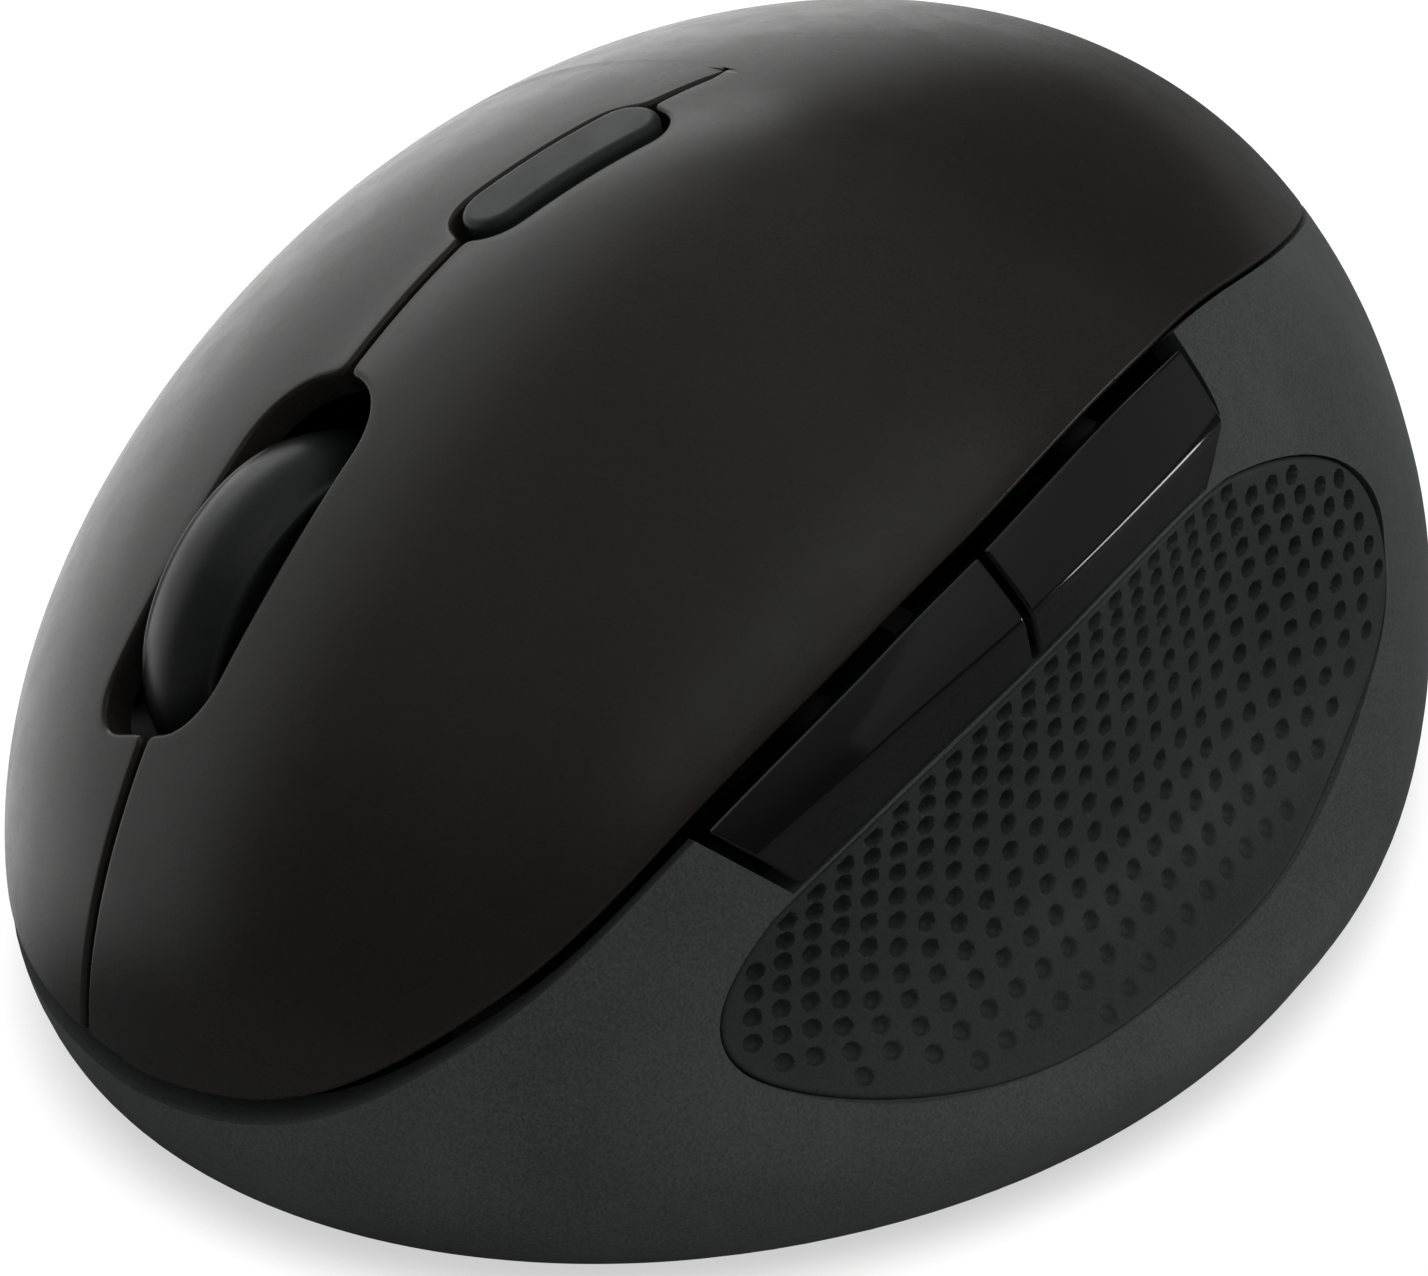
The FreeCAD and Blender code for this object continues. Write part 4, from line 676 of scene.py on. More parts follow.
    def ridge(self, y: np.ndarray) -> np.ndarray:
        """Height of the cover's edge over the thumb wall at places along the mouse."""
        points = self.edge(np.radians(np.linspace(-80, 80, 400)))
        return np.interp(y, points[:, 1], points[:, 2])


FORM = EggForm()


# ----------------------------------------------------------------------- pieces


@dataclass
class Cover:
    """The moulded cover: a palm part, and two keys that bend in front of its root.

    It is one skin on the egg form.  The keys part along the slit, which opens
    into the speed button's hole and the wheel's slot.
    """

    thick: float = 1.7
    edge: float = 0.3
    root_y: float = 3.4
    bend_end_y: float = -4.0
    bend_z: float = 40.0
    slit_half: float = 0.17
    slit_fade: float = 6.0
    roll_in: float = 1.2
    slit_line: tuple[tuple[float, float], ...] = ((-5.1, 2.4), (-8.1, -23.2), (-5.9, -48.5))
    slot_x: float = -8.1
    slot_half: float = 3.65
    slot_front_corner: float = 2.19
    slot_back_corner: float = 3.577
    slot_front_y: float = -38.2
    slot_back_y: float = -22.5
    hole_x: float = -6.6
    hole_y: float = -8.0
    hole_run: float = 3.85
    hole_radius: float = 2.35
    hole_turn: float = 15.0
    post_radius: float = 1.5
    post_foot_z: float = 15.2
    left_post: tuple[float, float] = (9.0, -27.2)
    right_post: tuple[float, float] = (-20.5, -21.5)
    tongue_z: float = 32.0
    tongue_top_z: float = 33.6
    tongue_half: float = 3.5
    tongue_front_y: float = -12.5
    tongue_past: float = 3.0
    tongue_bend: float = 1.4
    tongue_end_z: float = 41.2
    root_share: float = 5.0
    post_edge: float = 0.3
    post_share: float = 0.6
    columns: int = 420

    def build(self) -> None:
        """Builds the three parts of the cover."""
        surface = FORM.disc()
        thumb_turn, finger_turn = self._root_turn(1, -0.6, 0.8), self._root_turn(-1, 2.4, 3.8)
        for name, side, turn in (("left_key", 1.0, thumb_turn), ("right_key", -1.0, finger_turn)):
            self._key(name, side, turn, surface)
        self._palm(surface, thumb_turn, finger_turn)

    def _root_turn(self, way: int, start: float, end: float) -> float:
        """Direction, between two others, in which the cover's edge crosses the root."""
        ends = np.array([start]), np.array([end])
        return float(bisect(lambda t: way * (FORM.edge(t)[..., 1] - self.root_y), *ends)[0])

    def _opening_x(self, y: np.ndarray, side: float) -> np.ndarray:
        """How far the slit, the button's hole or the wheel's slot reaches to a side.

        The slit is an arc through three points, the hole a bar with round ends
        and the slot a rectangle with round corners; the farthest one counts.

        Args:
            y: places along the mouse.
            side: 1 towards the thumb, -1 towards the fingers.

        Returns:
            The places across.
        """
        (ax, ay), (bx, by), (cx, cy) = self.slit_line
        grid = 2 * np.array([[bx - ax, by - ay], [cx - ax, cy - ay]])
        middle = np.linalg.solve(grid, np.array([bx * bx + by * by - ax * ax - ay * ay,
                                                 cx * cx + cy * cy - ax * ax - ay * ay]))
        reach = math.hypot(ax - middle[0], ay - middle[1])
        slit = middle[0] - np.sqrt(reach ** 2 - (np.minimum(y, ay) - middle[1]) ** 2)
        best = side * slit + self.slit_half * np.clip((self.root_y + 0.3 - y) / self.slit_fade, 0.12, 1.0)
        sine, cosine = math.sin(math.radians(self.hole_turn)), math.cos(math.radians(self.hole_turn))
        for end in (-1, 1):
            dx, dy = self.hole_x + end * self.hole_run * sine, self.hole_y + end * self.hole_run * cosine
            rest = self.hole_radius ** 2 - (y - dy) ** 2
            best = np.maximum(best, np.where(rest > 0, side * dx + np.sqrt(np.maximum(rest, 0)), -99))
        t = (y - self.hole_y + side * self.hole_radius * sine) / cosine
        flank = side * (self.hole_x + t * sine) + self.hole_radius * cosine
        best = np.maximum(best, np.where(np.abs(t) < self.hole_run, flank, -99))
        into = np.minimum(y - self.slot_front_y, self.slot_back_y - y)
        corner = np.where(y < (self.slot_front_y + self.slot_back_y) / 2, self.slot_front_corner, self.slot_back_corner)
        bite = np.sqrt(np.maximum(corner ** 2 - np.maximum(corner - into, 0) ** 2, 0))
        slot = side * self.slot_x + self.slot_half - corner + bite
        return side * np.maximum(best, np.where(into > 0, slot, -99))

    def _slit_path(self, side: float, surface: Surface) -> Points:
        """The edge along the slit, from the root to the nose, over the disc.

        As far as the slot's front it goes by places along the mouse, closer
        together where a round end begins, and from there down the steep nose
        by the disc's own parameter.
        """
        def over(p: np.ndarray, y: np.ndarray) -> np.ndarray:
            return bisect(lambda q: surface(p, q)[..., 1] - y, np.full(p.shape, -1.5), np.full(p.shape, 0.9), 26)

        def down(q: np.ndarray) -> np.ndarray:
            def miss(p: np.ndarray) -> np.ndarray:
                point = surface(p, q)
                return point[..., 0] - self._opening_x(point[..., 1], side)
            return bisect(miss, np.full(q.shape, -0.7), np.full(q.shape, 0.7))

        def height_over_edge(q: np.ndarray) -> np.ndarray:
            p = down(q)
            return surface(p, q)[..., 2] - FORM.edge_height(np.arctan2(q, p))
        bow = np.cos(np.radians(np.linspace(0.5, 90, 240)))
        run = self.hole_run * math.cos(math.radians(self.hole_turn))
        y = np.unique(np.concatenate([np.linspace(self.root_y, self.slot_front_y - 0.5, 2400),
                                      self.hole_y + run + self.hole_radius * bow,
                                      self.hole_y - run - self.hole_radius * bow,
                                      self.slot_back_y - self.slot_back_corner * (1 - bow),
                                      self.slot_front_y + self.slot_front_corner * (1 - bow)]))[::-1]
        x = self._opening_x(y, side)
        p = bisect(lambda p: surface(p, over(p, y))[..., 0] - x, np.full(y.shape, -0.8), np.full(y.shape, 0.7), 26)
        q = over(p, y)
        end = bisect(height_over_edge, np.array([-1.9]), np.array([-1.1]))[0]
        nose = np.linspace(q[-1], end, 900)[1:]
        return np.concatenate([np.stack([p, q], axis=1), np.stack([down(nose), nose], axis=1)])

    def _root_line(self, start: float, end: float, surface: Surface) -> Points:
        """The line across the cover at its root, over the disc."""
        p = np.linspace(start, end, 1500)
        q = bisect(lambda q: surface(p, q)[..., 1] - self.root_y, np.full(p.shape, -0.8), np.full(p.shape, 0.9))
        return np.stack([p, q], axis=1)

    def _edge_path(self, start: float, end: float) -> Points:
        """The cover's lower edge between two directions, over the disc."""
        turn = np.linspace(start, end, 3000)
        return FORM.disc_of(turn, FORM.edge_height(turn))

    def _key(self, name: str, side: float, turn: float, surface: Surface) -> None:
        """Builds a key with the post that presses its switch."""
        slit = self._slit_path(side, surface)
        nose = math.atan2(slit[-1, 1], slit[-1, 0]) % TURN
        rim = self._edge_path(turn + (TURN if side > 0 else 0.0), nose)
        inner = np.concatenate([self._root_line(rim[0, 0], slit[0, 0], surface)[:-1], slit])
        edge, line = surface(rim[:, 0], rim[:, 1]), surface(inner[:, 0], inner[:, 1])
        high = even_points(inner, line, self.columns)
        at = np.linspace(0.0, lengths(line)[-1], self.columns)
        low = points_at(rim, edge, np.interp(at, *self._partners(side, rim, edge, inner, line)))
        high[0], low[-1] = low[0], high[-1]
        past_root = self.root_y - self.edge - surface(high[:, 0], high[:, 1])[:, 1]
        rolled = np.clip(past_root / self.roll_in, 0, 1)
        mesh = Mesh()
        MouldedSkin(surface, low, high, 44, self.thick, self.edge, Rails.ROOTED, rolled=rolled).into(mesh)
        x, y = self.left_post if side > 0 else self.right_post
        top = self._under(x, y, surface)
        mesh.add(turned(np.array([0.0, 0.0, 1.0]), np.array([x, y, self.post_foot_z]),
                        rounded_rod(top - self.post_foot_z, self.post_radius, self.post_edge), 40), ring=True)
        key = mesh.build(name + "_skin", COVER)
        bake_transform(key)
        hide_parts(name)

    def _partners(self, side: float, rim: Points, edge: Points, inner: Points, line: Points) -> tuple[Points, Points]:
        """Pairs places along a key's inner edge with places along its lower edge.

        The rows between the pairs keep clear of the slot: they run straight
        across from its back end and slant to the nose from its front corner.

        Args:
            side: 1 for the thumb side's key, -1 for the other.
            rim: the lower edge over the disc.
            edge: the same points in space.
            inner: the root line and the slit over the disc.
            line: the same points in space.

        Returns:
            The paired lengths along the inner and the lower edge.
        """
        rim_run, inner_run = lengths(edge), lengths(line)
        root = int(np.argmax(line[:, 1] < self.root_y - 0.05))
        back = int(np.argmax(line[:, 1] < self.slot_back_y))
        front = int(np.argmax(line[:, 1] < self.slot_front_y + self.slot_front_corner))
        across = int(np.argmin(np.abs(rim[:, 1] - inner[back, 1])))
        slanted = int(np.argmin(np.abs((rim[:, 1] + side * rim[:, 0]) - (inner[front, 1] + side * inner[front, 0]))))
        return (inner_run[[0, root, back, front, -1]],
                np.array([0.0, self.root_share, rim_run[across], rim_run[slanted], rim_run[-1]]))

    def _under(self, x: float, y: float, surface: Surface) -> float:
        """Height inside the cover's wall over a post, where the wall is lowest."""
        spread = np.linspace(-1.2, 1.2, 401)
        p, q = np.meshgrid(spread, spread)
        points = surface(p, q)
        near = np.hypot(points[..., 0] - x, points[..., 1] - y) < self.post_radius
        return float(points[..., 2][near].min()) - self.thick * self.post_share

    def _palm(self, surface: Surface, thumb_turn: float, finger_turn: float) -> None:
        """Builds the palm part with the tongue for the speed button's board."""
        rim = self._edge_path(thumb_turn, finger_turn)
        line = self._root_line(rim[0, 0], rim[-1, 0], surface)
        low = even_points(rim, surface(rim[:, 0], rim[:, 1]), self.columns)
        high = even_points(line, surface(line[:, 0], line[:, 1]), self.columns)
        high[0], high[-1] = low[0], low[-1]
        mesh = Mesh()
        MouldedSkin(surface, low, high, 60, self.thick, self.edge, Rails.SPLIT,
                    rolled=np.zeros(self.columns)).into(mesh)
        mesh.add(self._tongue(), ring=True)
        palm = mesh.build("palm_skin", COVER)
        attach(palm, "chassis")
        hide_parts("palm_cover")

    def _tongue(self) -> Points:
        """The tongue: a flat rounded bar under the crown, turned up at the root."""
        turn = np.linspace(0, TURN, 40, endpoint=False)
        half, thick = self.tongue_half, (self.tongue_top_z - self.tongue_z) / 2
        across = half * np.sign(np.cos(turn)) * np.abs(np.cos(turn)) ** 0.3
        up = thick * np.sign(np.sin(turn)) * np.abs(np.sin(turn)) ** 0.3
        middle = (self.tongue_z + self.tongue_top_z) / 2
        flat = np.linspace(self.tongue_front_y, self.root_y + self.tongue_past, 24)
        bend = np.radians(np.linspace(0, 80, 10))[1:]
        y = np.concatenate([flat, flat[-1] + self.tongue_bend * np.sin(bend)])
        z = np.concatenate([np.full(24, middle), middle + self.tongue_bend * (1 - np.cos(bend))])
        y, z = np.append(y, y[-1] + 0.5), np.append(z, self.tongue_end_z)
        lean = np.concatenate([np.zeros(24), bend, [math.radians(85)]])
        size = np.concatenate([[1e-4, 0.9], np.ones(len(y) - 3), [1e-4]])
        y, z = np.concatenate([y[:1], y[:1], y[1:-1], y[-2:-1] + 0.5])[:len(size)], \
            np.concatenate([z[:1], z[:1], z[1:-1], z[-1:]])[:len(size)]
        x = self.hole_x + size[:, None] * across[None]
        return np.stack([x, y[:, None] - size[:, None] * np.sin(lean)[:, None] * up[None],
                         z[:, None] + size[:, None] * np.cos(lean)[:, None] * up[None]], axis=-1)


@dataclass
class SideButtons:
    """The two thumb buttons: bars that follow the cover's edge, with a crease along them."""

    proud: float = 0.2
    thick: float = 1.6
    top_drop: float = 0.62
    crease_drop: float = 3.75
    foot_drop: float = 6.35
    front_slant: float = 0.6
    split_slant: float = 0.16
    front_y: float = -28.25
    split_y: float = -9.9
    back_y: float = 8.8
    back_cut: float = 2.4
    gap: float = 0.45
    crease: float = 0.3
    edge: float = 0.22
    stem_x: float = 18.4
    stem_radius: float = 1.5
    forward_stem: tuple[float, float] = (-18.6, 25.5)
    back_stem: tuple[float, float] = (1.4, 31.9)

    def build(self) -> None:
        """Builds both buttons."""
        self._button("forward_button", (self.front_y, self.split_y), (self.front_slant, self.split_slant), 0.0,
                     self.forward_stem)
        self._button("back_button", (self.split_y + self.gap, self.back_y), (self.split_slant, 0.0), self.back_cut,
                     self.back_stem)

    def _button(self, name: str, ends: tuple[float, float], slants: tuple[float, float], cut: float,
                stem: tuple[float, float]) -> None:
        """Builds a button: along it, and up towards the cover's edge, are its two parameters.

        Args:
            name: the node it replaces.
            ends: where it starts and ends along the mouse.
            slants: how far each end moves along for a millimetre down.
            cut: how much of the back end is cut off below the crease, at the foot.
            stem: place along and height of its stem.
        """
        side = FORM.thumb(self.proud, False, self.crease)

        def surface(u: np.ndarray, rise: np.ndarray) -> Points:
            below = np.clip((-rise - self.crease_drop) / (self.foot_drop - self.crease_drop), 0, 1)
            start, end = ends[0] - slants[0] * rise, ends[1] - slants[1] * rise - cut * below
            y = start + u * (end - start)
            return side(y, FORM.ridge(y) + rise)
        u = np.linspace(0, 1, 200)
        low = np.stack([u, np.full(200, -self.foot_drop)], axis=1)
        high = np.stack([u, np.full(200, -self.top_drop)], axis=1)
        mesh = Mesh()
        MouldedSkin(surface, low, high, 72, self.thick, self.edge, Rails.ENDED, rounding=1.4).into(mesh)
        round_ = stem[0] + self.stem_radius * np.array([-1.0, 1.0]), stem[1] + self.stem_radius * np.array([1.0, 1.0])
        reach = float(side(*round_)[:, 0].min()) - self.thick * 0.5
        mesh.add(turned(np.array([1.0, 0.0, 0.0]), np.array([self.stem_x, stem[0], stem[1]]),
                        rounded_rod(reach - self.stem_x, self.stem_radius, 0.25), 40), ring=True)
        made = mesh.build(name + "_cap", GLOSS, 50.0)
        mesh.dress(made, FLANK, lambda at: FORM.ridge(at[:, 1]) - at[:, 2] > self.crease_drop + 0.12)
        mesh.dress(made, INNER, lambda at: (at[:, 0] < reach - 0.4)
                   & (np.hypot(at[:, 1] - stem[0], at[:, 2] - stem[1]) < self.stem_radius + 0.02))
        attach(made, name.replace("button", "body"))
        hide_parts(name)


@dataclass
class SpeedButton:
    """The speed button on the crown: a domed bar with round ends."""

    x: float = -6.6
    y: float = -8.0
    run: float = 3.85
    radius: float = 1.85
    turn: float = 15.0
    proud: float = 0.35
    thick: float = 1.6
    edge: float = 0.5
    stem_foot_z: float = 39.2
    stem_radius: float = 1.5

    def build(self) -> None:
        """Builds the button with its stem."""
        surface = FORM.disc(self.proud)
        sine, cosine = math.sin(math.radians(self.turn)), math.cos(math.radians(self.turn))
        rails = []
        for side in (1.0, -1.0):
            bend = np.radians(np.linspace(-90, 90, 50))
            round_, rise = self.radius * np.cos(bend), self.radius * np.sin(bend)
            straight = np.linspace(-self.run, self.run, 42)[1:-1]
            across = np.concatenate([round_[:25], np.full(40, self.radius), round_[25:]]) * side
            along = np.concatenate([rise[:25] - self.run, straight, rise[25:] + self.run])
            x = self.x + across * cosine + along * sine
            y = self.y - across * sine + along * cosine
            place = self._over(np.stack([x, y], axis=1), surface)
            rails.append(even_points(place, surface(place[:, 0], place[:, 1]), 130))
        rails[1][0], rails[1][-1] = rails[0][0], rails[0][-1]
        mesh = Mesh()
        MouldedSkin(surface, rails[0], rails[1], 36, self.thick, self.edge, Rails.RING, rounding=1.0).into(mesh)
        top = self._over(np.array([[self.x, self.y]]), surface)
        reach = float(surface(top[:, 0], top[:, 1])[0, 2]) - self.thick * 0.7
        mesh.add(turned(np.array([0.0, 0.0, 1.0]), np.array([self.x, self.y, self.stem_foot_z]),
                        rounded_rod(reach - self.stem_foot_z, self.stem_radius, 0.25), 40), ring=True)
        made = mesh.build("dpi_cap", SATIN)
        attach(made, "dpi_body")
        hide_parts("dpi_button")

    def _over(self, plan: Points, surface: Surface) -> Points:
        """Disc parameters under places in plan, closed in on by Newton's steps."""
        place = plan / 40.0
        for _ in range(12):
            along, across, _ = slopes(surface, place)
            miss = plan - surface(place[:, 0], place[:, 1])[:, :2]
            span = along[:, 0] * across[:, 1] - along[:, 1] * across[:, 0]
            place = place + np.stack([(across[:, 1] * miss[:, 0] - across[:, 0] * miss[:, 1]) / span,
                                      (along[:, 0] * miss[:, 1] - along[:, 1] * miss[:, 0]) / span], axis=1)
        return place


@dataclass
class ThumbGrip:
    """The grip pad in the thumb wall: a leaf with staggered rows of oval pits."""

    middle_y: float = -3.9
    middle_z: float = 18.1
    length: float = 50.8
    height: float = 20.8
    fullness: tuple[float, ...] = (1.005, 1.037, 1.06, 0.996, 0.829, 0.793, 0.922, 1.14, 1.115, 1.002, 1.064, 1.055)
    top_drop: float = 7.15
    thick: float = 1.0
    edge: float = 0.3
    first_drop: float = 7.85
    first_y: float = -0.26
    pitch: float = 1.78
    row_step: float = 1.08
    row_growth: float = 0.04
    fan_y: float = -6.5
    fan: float = 0.125
    fan_reach: float = 7.8
    taper_y: float = -10.0
    taper: float = 0.015
    taper_least: float = 0.78
    pit_length: float = 0.5
    pit_height: float = 0.47
    pit_depth: float = 0.75
    pit_least: float = 0.3
    pit_power: float = 0.35
    shallow_share: float = 0.62
    margin: float = 0.65

    def build(self) -> None:
        """Builds the pad."""
        surface = FORM.thumb()
        low, high = self._rails(surface)
        mesh = Mesh()
        MouldedSkin(surface, low, high, 165, self.thick, self.edge, Rails.RING, rounding=2.5, relief=self._pits,
                    under_rows=24).into(mesh)
        made = mesh.build("grip_pad", GRIP, 60.0)
        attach(made, "chassis")
        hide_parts("thumb_grip")

    def _rails(self, surface: Surface) -> tuple[Points, Points]:
        """The leaf's lower and upper outline, clipped a strip below the side buttons."""
        turn = TURN * np.arange(12) / 12
        full = np.array(self.fullness)
        knots = np.stack([self.middle_y + self.length / 2 * full * np.cos(turn),
                          self.middle_z + self.height / 2 * full * np.sin(turn)], axis=1)
        matrix = 4 * np.eye(12) + np.roll(np.eye(12), 1, axis=1) + np.roll(np.eye(12), -1, axis=1)
        bend = np.linalg.solve(matrix, 6 * (np.roll(knots, -1, axis=0) - 2 * knots + np.roll(knots, 1, axis=0)))
        at = np.linspace(0, 12, 4800, endpoint=False)
        first, t = at.astype(int), (at - at.astype(int))[:, None]
        second = (first + 1) % 12
        line = ((1 - t) * knots[first] + t * knots[second]
                + ((1 - t) ** 3 - (1 - t)) / 6 * bend[first] + (t ** 3 - t) / 6 * bend[second])
        line[:, 1] = np.minimum(line[:, 1], FORM.ridge(line[:, 0]) - self.top_drop)
        line = np.roll(line, -int(np.argmin(line[:, 0])), axis=0)
        split = int(np.argmax(line[:, 0]))
        parts = (line[:split + 1], np.concatenate([line[split:], line[:1]])[::-1])
        low, high = (even_points(part, surface(part[:, 0], part[:, 1]), 480) for part in parts)
        return low, high

    def _pits(self, y: np.ndarray, z: np.ndarray) -> np.ndarray:
        """Depth of the pits: rows along the cover's edge, wider apart and shallower towards the lip.

        Distances down the pad run along the wall's own slope.

        Args:
            y: places along the mouse.
            z: heights.

        Returns:
            The heights of the relief, negative in a pit.
        """
        heights = np.linspace(0.0, 34.0, 400)
        slope = FORM.wall_lean + FORM.lip / FORM.lip_fade * np.exp((FORM.lip_height - heights) / FORM.lip_fade)
        run = np.concatenate([[0.0], np.cumsum(np.hypot(1.0, slope)[1:] * np.diff(heights))])
        place, pit_y = np.interp(z, heights, run), y
        for _ in range(3):
            first = np.interp(FORM.ridge(pit_y) - self.first_drop, heights, run)
            close = np.clip(1 + self.taper * (pit_y - self.taper_y), self.taper_least, 1.0)
            down = np.maximum(first - place, 0) / close
            root = np.sqrt(self.row_step ** 2 + 4 * self.row_growth * down)
            row = np.round((root - self.row_step) / (2 * self.row_growth))
            pit_down = row * (self.row_step + row * self.row_growth) * close
            spread = 1 + self.fan * np.clip(pit_down / self.fan_reach, 0, 1)
            column = np.round((self.fan_y - self.first_y + (y - self.fan_y) / spread) / self.pitch)
            pit_y = self.fan_y + (self.first_y + column * self.pitch - self.fan_y) * spread
        pit_place = np.interp(FORM.ridge(pit_y) - self.first_drop, heights, run) - pit_down
        pit_z = np.interp(pit_place, run, heights)
        across, up = (pit_y - self.middle_y) * 2 / self.length, (pit_z - self.middle_z) * 2 / self.height
        full = np.interp(np.arctan2(up, across) % TURN, np.linspace(0, TURN, 13), self.fullness + self.fullness[:1])
        reach = np.hypot(across, up) + 1e-9
        step = np.hypot(across / self.length, up / self.height) * 2 / reach + 1e-9
        room = np.minimum((full - reach) / step, FORM.ridge(pit_y) - self.top_drop - pit_z)
        deep = np.clip((pit_z - self.middle_z + self.height / 2) / (self.height * self.shallow_share), 0, 1)
        inside = 1 - ((y - pit_y) / self.pit_length) ** 2 - ((place - pit_place) / self.pit_height) ** 2
        bowl = np.clip(inside, 0, 1) ** self.pit_power
        return -self.pit_depth * (self.pit_least + (1 - self.pit_least) * deep) * bowl * (room > self.margin)


@dataclass
class WheelTyre:
    """The wheel's tyre: a band with a crowned tread and round shoulders."""

    x: float = -8.1
    y: float = -26.2
    z: float = 23.2
    radius: float = 10.0
    width: float = 5.2
    thick: float = 1.8
    shoulder: float = 0.4
    crown: float = 0.9
    lip: float = 0.25

    def build(self) -> None:
        """Builds the tyre from its section, turned about the axle."""
        half, inner = self.width / 2, self.radius - self.thick
        bend = np.radians(np.linspace(0, 90, 12))
        side = np.stack([-half + self.shoulder * (1 - np.cos(bend)),
                         self.radius - self.crown - self.shoulder * (1 - np.sin(bend))], axis=1)
        across = np.linspace(-half + self.shoulder, half - self.shoulder, 24)[1:-1]
        share = across / (half - self.shoulder)
        tread = np.stack([across, self.radius - self.crown * share ** 2], axis=1)
        other = side[::-1] * (-1, 1)
        lip = self.lip
        foot = np.array([[half, inner + lip], [half - lip, inner], [-half + lip, inner], [-half, inner + lip]])
        section = np.concatenate([side, tread, other, foot, side[:1]])
        mesh = Mesh()
        mesh.add(turned(np.array([1.0, 0.0, 0.0]), np.array([self.x, self.y, self.z]), section, 200), ring=True)
        made = mesh.build("tyre_band", TYRE, 40.0)
        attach(made, "wheel_body")
        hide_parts("wheel_tyre")


# ------------------------------------------------------------------------ stage


@dataclass(frozen=True)
class Lamp:
    """A soft rectangular lamp, placed by direction, that looks at the mouse.

    Angles are in degrees, azimuth from +X towards +Y.  Its glow is the
    brightness of its face, where 1 is white paper in plain light.
    """

    name: str
    azimuth: float
    elevation: float
    distance: float
    width: float
    height: float
    glow: float
    mirrored: bool = True

    def build(self, aim: Vector) -> None:
        """Sets up the lamp.

        Args:
            aim: the point it looks at, in metres.
        """
        turn, rise = math.radians(self.azimuth), math.radians(self.elevation)
        back = Vector((math.cos(turn) * math.cos(rise), math.sin(turn) * math.cos(rise), math.sin(rise)))
        data = bpy.data.lights.new(self.name, "AREA")
        data.shape = "RECTANGLE"
        data.size, data.size_y = self.width * MM, self.height * MM
        data.energy = self.glow * math.pi * data.size * data.size_y
        lamp = bpy.data.objects.new(self.name, data)
        lamp.location = aim + back * self.distance * MM
        lamp.rotation_mode = "QUATERNION"
        lamp.rotation_quaternion = back.to_track_quat("Z", "Y")
        lamp.visible_glossy = self.mirrored
        bpy.context.scene.collection.objects.link(lamp)


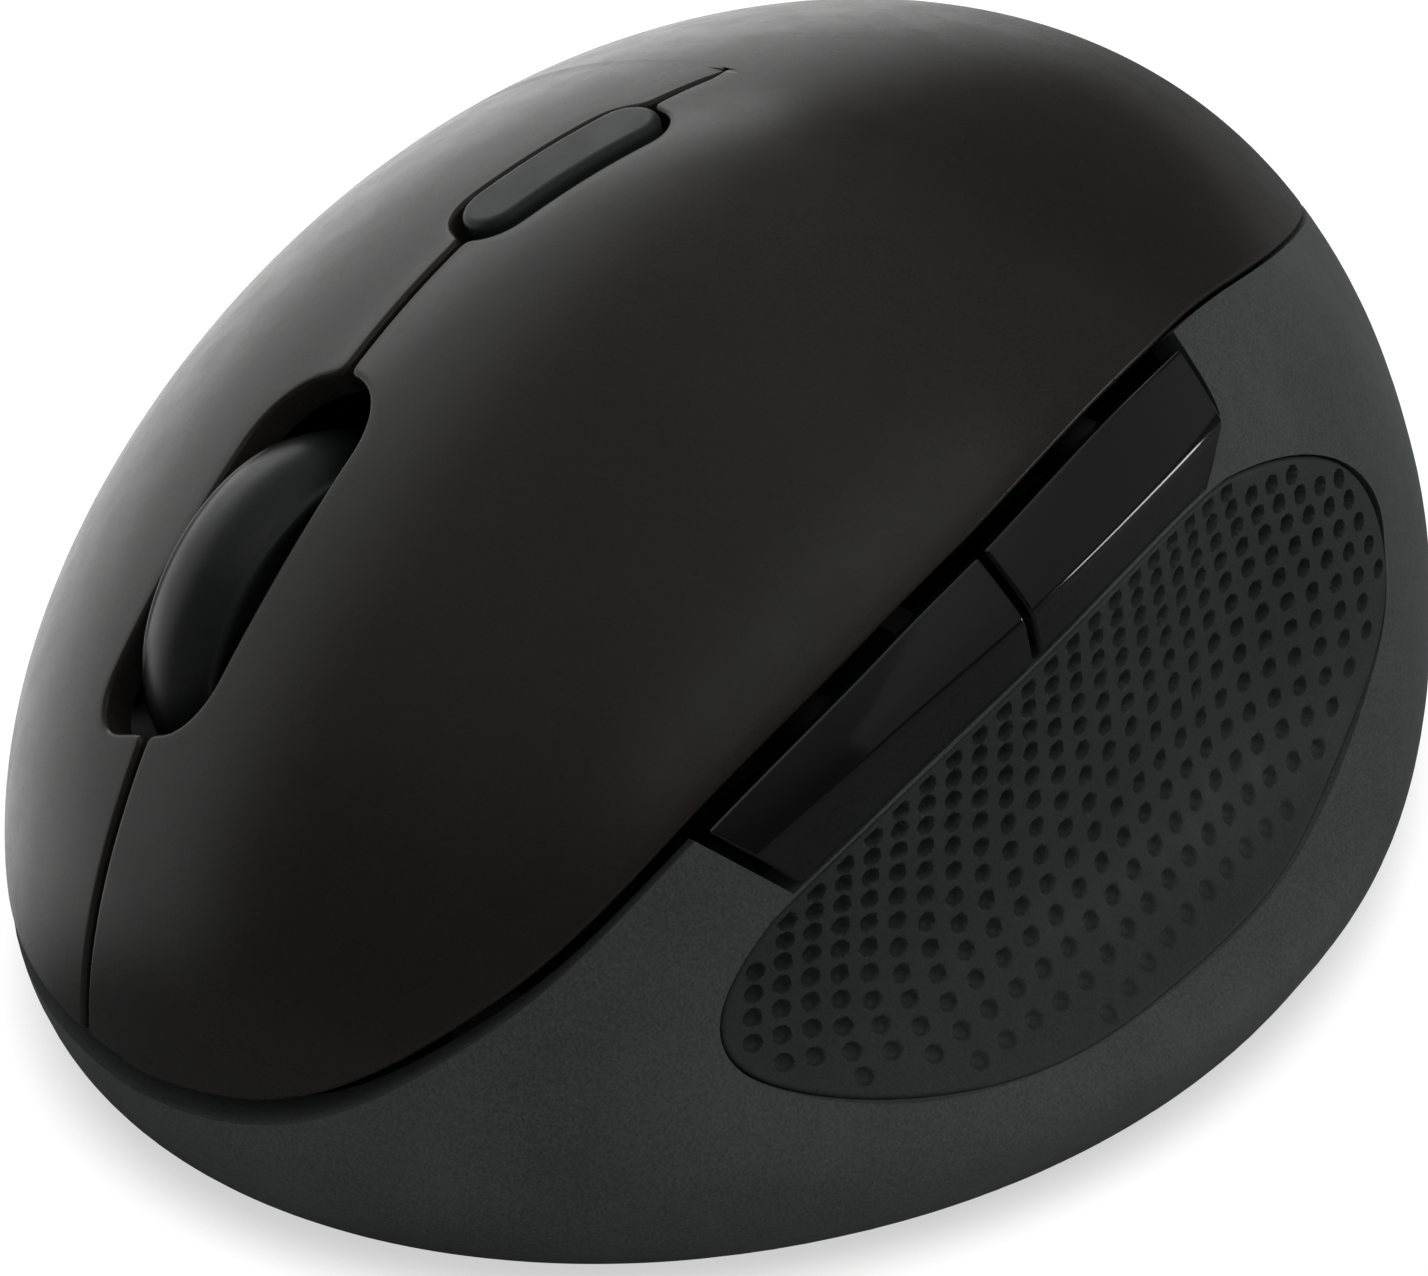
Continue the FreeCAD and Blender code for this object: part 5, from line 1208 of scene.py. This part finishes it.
@dataclass
class Studio:
    """Floor, world, lamps and the camera at the photograph's angle.

    Mirrored in the mouse, the surround is white towards the fingers' side
    (-X) and dark towards the thumb side, and the floor's paper likewise.
    """

    azimuth: float = 41.0
    elevation: float = 35.5
    distance: float = 450.0
    target: tuple[float, float, float] = (0.1637, -3.8848, 13.7391)
    lens: float = 216.95
    sensor: float = 36.0
    floor_size: float = 4000.0
    sky: float = 0.42
    sides: tuple[float, float, float, float] = (-0.38, -0.78, 0.04, 1.1)
    ceiling: tuple[float, float, float, float] = (0.5, 0.95, 0.0, 0.3)
    paper: float = 0.9
    paper_seen: float = 0.12
    paper_tone: float = 0.12
    # How far the floor's painted contact shadow reaches, and its tones.
    contact: float = 6.0
    painted_shadow_tones: tuple[float, float, float, float] = (0.2, 0.75, 0.6, 0.98)
    lamps: tuple[Lamp, ...] = (
        Lamp("lamp_behind", 128.0, 46.0, 700.0, 420.0, 420.0, 5.0, False),
        Lamp("lamp_top", 20.0, 62.0, 700.0, 500.0, 500.0, 1.9, False),
        Lamp("lamp_left", 157.0, 30.0, 700.0, 620.0, 170.0, 1.5),
        Lamp("lamp_strip", -4.0, 53.0, 700.0, 820.0, 60.0, 1.2),
        Lamp("lamp_side", 36.0, 30.0, 700.0, 950.0, 420.0, 0.15),
        Lamp("lamp_low", 46.0, 3.0, 700.0, 300.0, 50.0, 9.0),
    )

    def build(self) -> None:
        """Sets up everything that is not the mouse."""
        self._camera()
        self._world()
        self._floor()
        for lamp in self.lamps:
            lamp.build(Vector(self.target) * MM)
        bpy.context.scene.view_settings.view_transform = "Standard"
        LOG.info("studio ready")

    def _camera(self) -> None:
        """The camera of the photograph."""
        turn, rise = math.radians(self.azimuth), math.radians(self.elevation)
        back = Vector((math.sin(turn) * math.cos(rise), -math.cos(turn) * math.cos(rise), math.sin(rise)))
        data = bpy.data.cameras.new("camera")
        data.lens, data.sensor_width = self.lens, self.sensor
        data.clip_start, data.clip_end = 0.02, 20.0
        camera = bpy.data.objects.new("camera", data)
        camera.location = (Vector(self.target) + back * self.distance) * MM
        camera.rotation_mode = "QUATERNION"
        camera.rotation_quaternion = (-back).to_track_quat("-Z", "Y")
        bpy.context.scene.collection.objects.link(camera)
        bpy.context.scene.camera = camera

    @staticmethod
    def _ramp(tree: bpy.types.NodeTree, source: bpy.types.NodeSocket,
              stops: tuple[float, float, float, float]) -> bpy.types.NodeSocket:
        """A smooth ramp over a value: where it starts and ends, and what it gives there."""
        ramp = tree.nodes.new("ShaderNodeMapRange")
        ramp.interpolation_type = "SMOOTHSTEP"
        for name, value in zip(("From Min", "From Max", "To Min", "To Max"), stops):
            ramp.inputs[name].default_value = value
        tree.links.new(source, ramp.inputs["Value"])
        return ramp.outputs["Result"]

    @staticmethod
    def _by_ray(tree: bpy.types.NodeTree, last: bpy.types.NodeSocket,
                shades: tuple[tuple[str, bpy.types.NodeSocket], ...]) -> bpy.types.NodeSocket:
        """Shows a shader of its own to each named kind of ray, over a first one for the rest."""
        path = tree.nodes.new("ShaderNodeLightPath")
        for ray, shade in shades:
            mix = tree.nodes.new("ShaderNodeMixShader")
            tree.links.new(path.outputs[ray], mix.inputs["Fac"])
            tree.links.new(last, mix.inputs[1])
            tree.links.new(shade, mix.inputs[2])
            last = mix.outputs["Shader"]
        return last

    def _world(self) -> None:
        """A level grey surround, white behind the mouse, with its own tones when mirrored."""
        world = bpy.data.worlds.new("surround")
        world.use_nodes = True
        tree = world.node_tree
        nodes, links = tree.nodes, tree.links
        nodes.clear()
        place, apart = nodes.new("ShaderNodeTexCoord"), nodes.new("ShaderNodeSeparateXYZ")
        links.new(place.outputs["Generated"], apart.inputs["Vector"])
        total = nodes.new("ShaderNodeMath")
        links.new(self._ramp(tree, apart.outputs["X"], self.sides), total.inputs[0])
        links.new(self._ramp(tree, apart.outputs["Z"], self.ceiling), total.inputs[1])
        level, mirrored, white = (nodes.new("ShaderNodeBackground") for _ in range(3))
        level.inputs["Strength"].default_value = self.sky
        for shade in (level, mirrored, white):
            shade.inputs["Color"].default_value = (1.0, 1.0, 1.0, 1.0)
        links.new(total.outputs["Value"], mirrored.inputs["Strength"])
        last = self._by_ray(tree, level.outputs["Background"],
                            (("Is Glossy Ray", mirrored.outputs["Background"]),
                             ("Is Transmission Ray", white.outputs["Background"]),
                             ("Is Camera Ray", white.outputs["Background"])))
        links.new(last, nodes.new("ShaderNodeOutputWorld").inputs["Surface"])
        bpy.context.scene.world = world

    def _floor(self) -> None:
        """A pale floor that shows its own tones when mirrored; to the camera it glows white, with a painted contact
        shadow where ambient occlusion next to the mouse dims the glow, over a faint share of the lamps' real shadow.
        """
        half = self.floor_size * MM / 2
        mesh = bpy.data.meshes.new("floor")
        mesh.from_pydata([(-half, -half, 0), (half, -half, 0), (half, half, 0), (-half, half, 0)], [], [(0, 1, 2, 3)])
        floor = bpy.data.objects.new("floor", mesh)
        bpy.context.scene.collection.objects.link(floor)
        made = bpy.data.materials.new("floor_paper")
        made.use_nodes = True
        tree = made.node_tree
        nodes, links = tree.nodes, tree.links
        nodes.clear()
        place, way, apart = (nodes.new("ShaderNode" + kind) for kind in ("TexCoord", "VectorMath", "SeparateXYZ"))
        way.operation = "NORMALIZE"
        links.new(place.outputs["Object"], way.inputs[0])
        links.new(way.outputs["Vector"], apart.inputs["Vector"])
        paper, toned, seen, glow = (nodes.new("ShaderNode" + kind)
                                    for kind in ("BsdfDiffuse", "BsdfDiffuse", "BsdfDiffuse", "Emission"))
        paper.inputs["Color"].default_value = (self.paper,) * 3 + (1.0,)
        tones = self.sides[:2] + (self.paper_tone, self.sides[3])
        links.new(self._ramp(tree, apart.outputs["X"], tones), toned.inputs["Color"])
        seen.inputs["Color"].default_value = (self.paper_seen,) * 3 + (1.0,)
        # Painted contact shadow: ambient occlusion next to the mouse dims the white glow that the camera sees on the
        # floor.
        near = nodes.new("ShaderNodeAmbientOcclusion")
        near.inputs["Distance"].default_value = self.contact * MM
        links.new(self._ramp(tree, near.outputs["AO"], self.painted_shadow_tones), glow.inputs["Strength"])
        white = nodes.new("ShaderNodeAddShader")
        links.new(seen.outputs["BSDF"], white.inputs[0])
        links.new(glow.outputs["Emission"], white.inputs[1])
        last = self._by_ray(tree, paper.outputs["BSDF"],
                            (("Is Glossy Ray", toned.outputs["BSDF"]), ("Is Camera Ray", white.outputs["Shader"])))
        links.new(last, nodes.new("ShaderNodeOutputMaterial").inputs["Surface"])
        mesh.materials.append(made)


# ------------------------------------------------------------------------- main


def main() -> None:
    """Builds the pieces in order."""
    logging.basicConfig(level=logging.INFO)
    dress_nodes()
    for piece in (Cover(), SideButtons(), SpeedButton(), ThumbGrip(), WheelTyre()):
        piece.build()
    Studio().build()


if __name__ == "__main__":
    main()
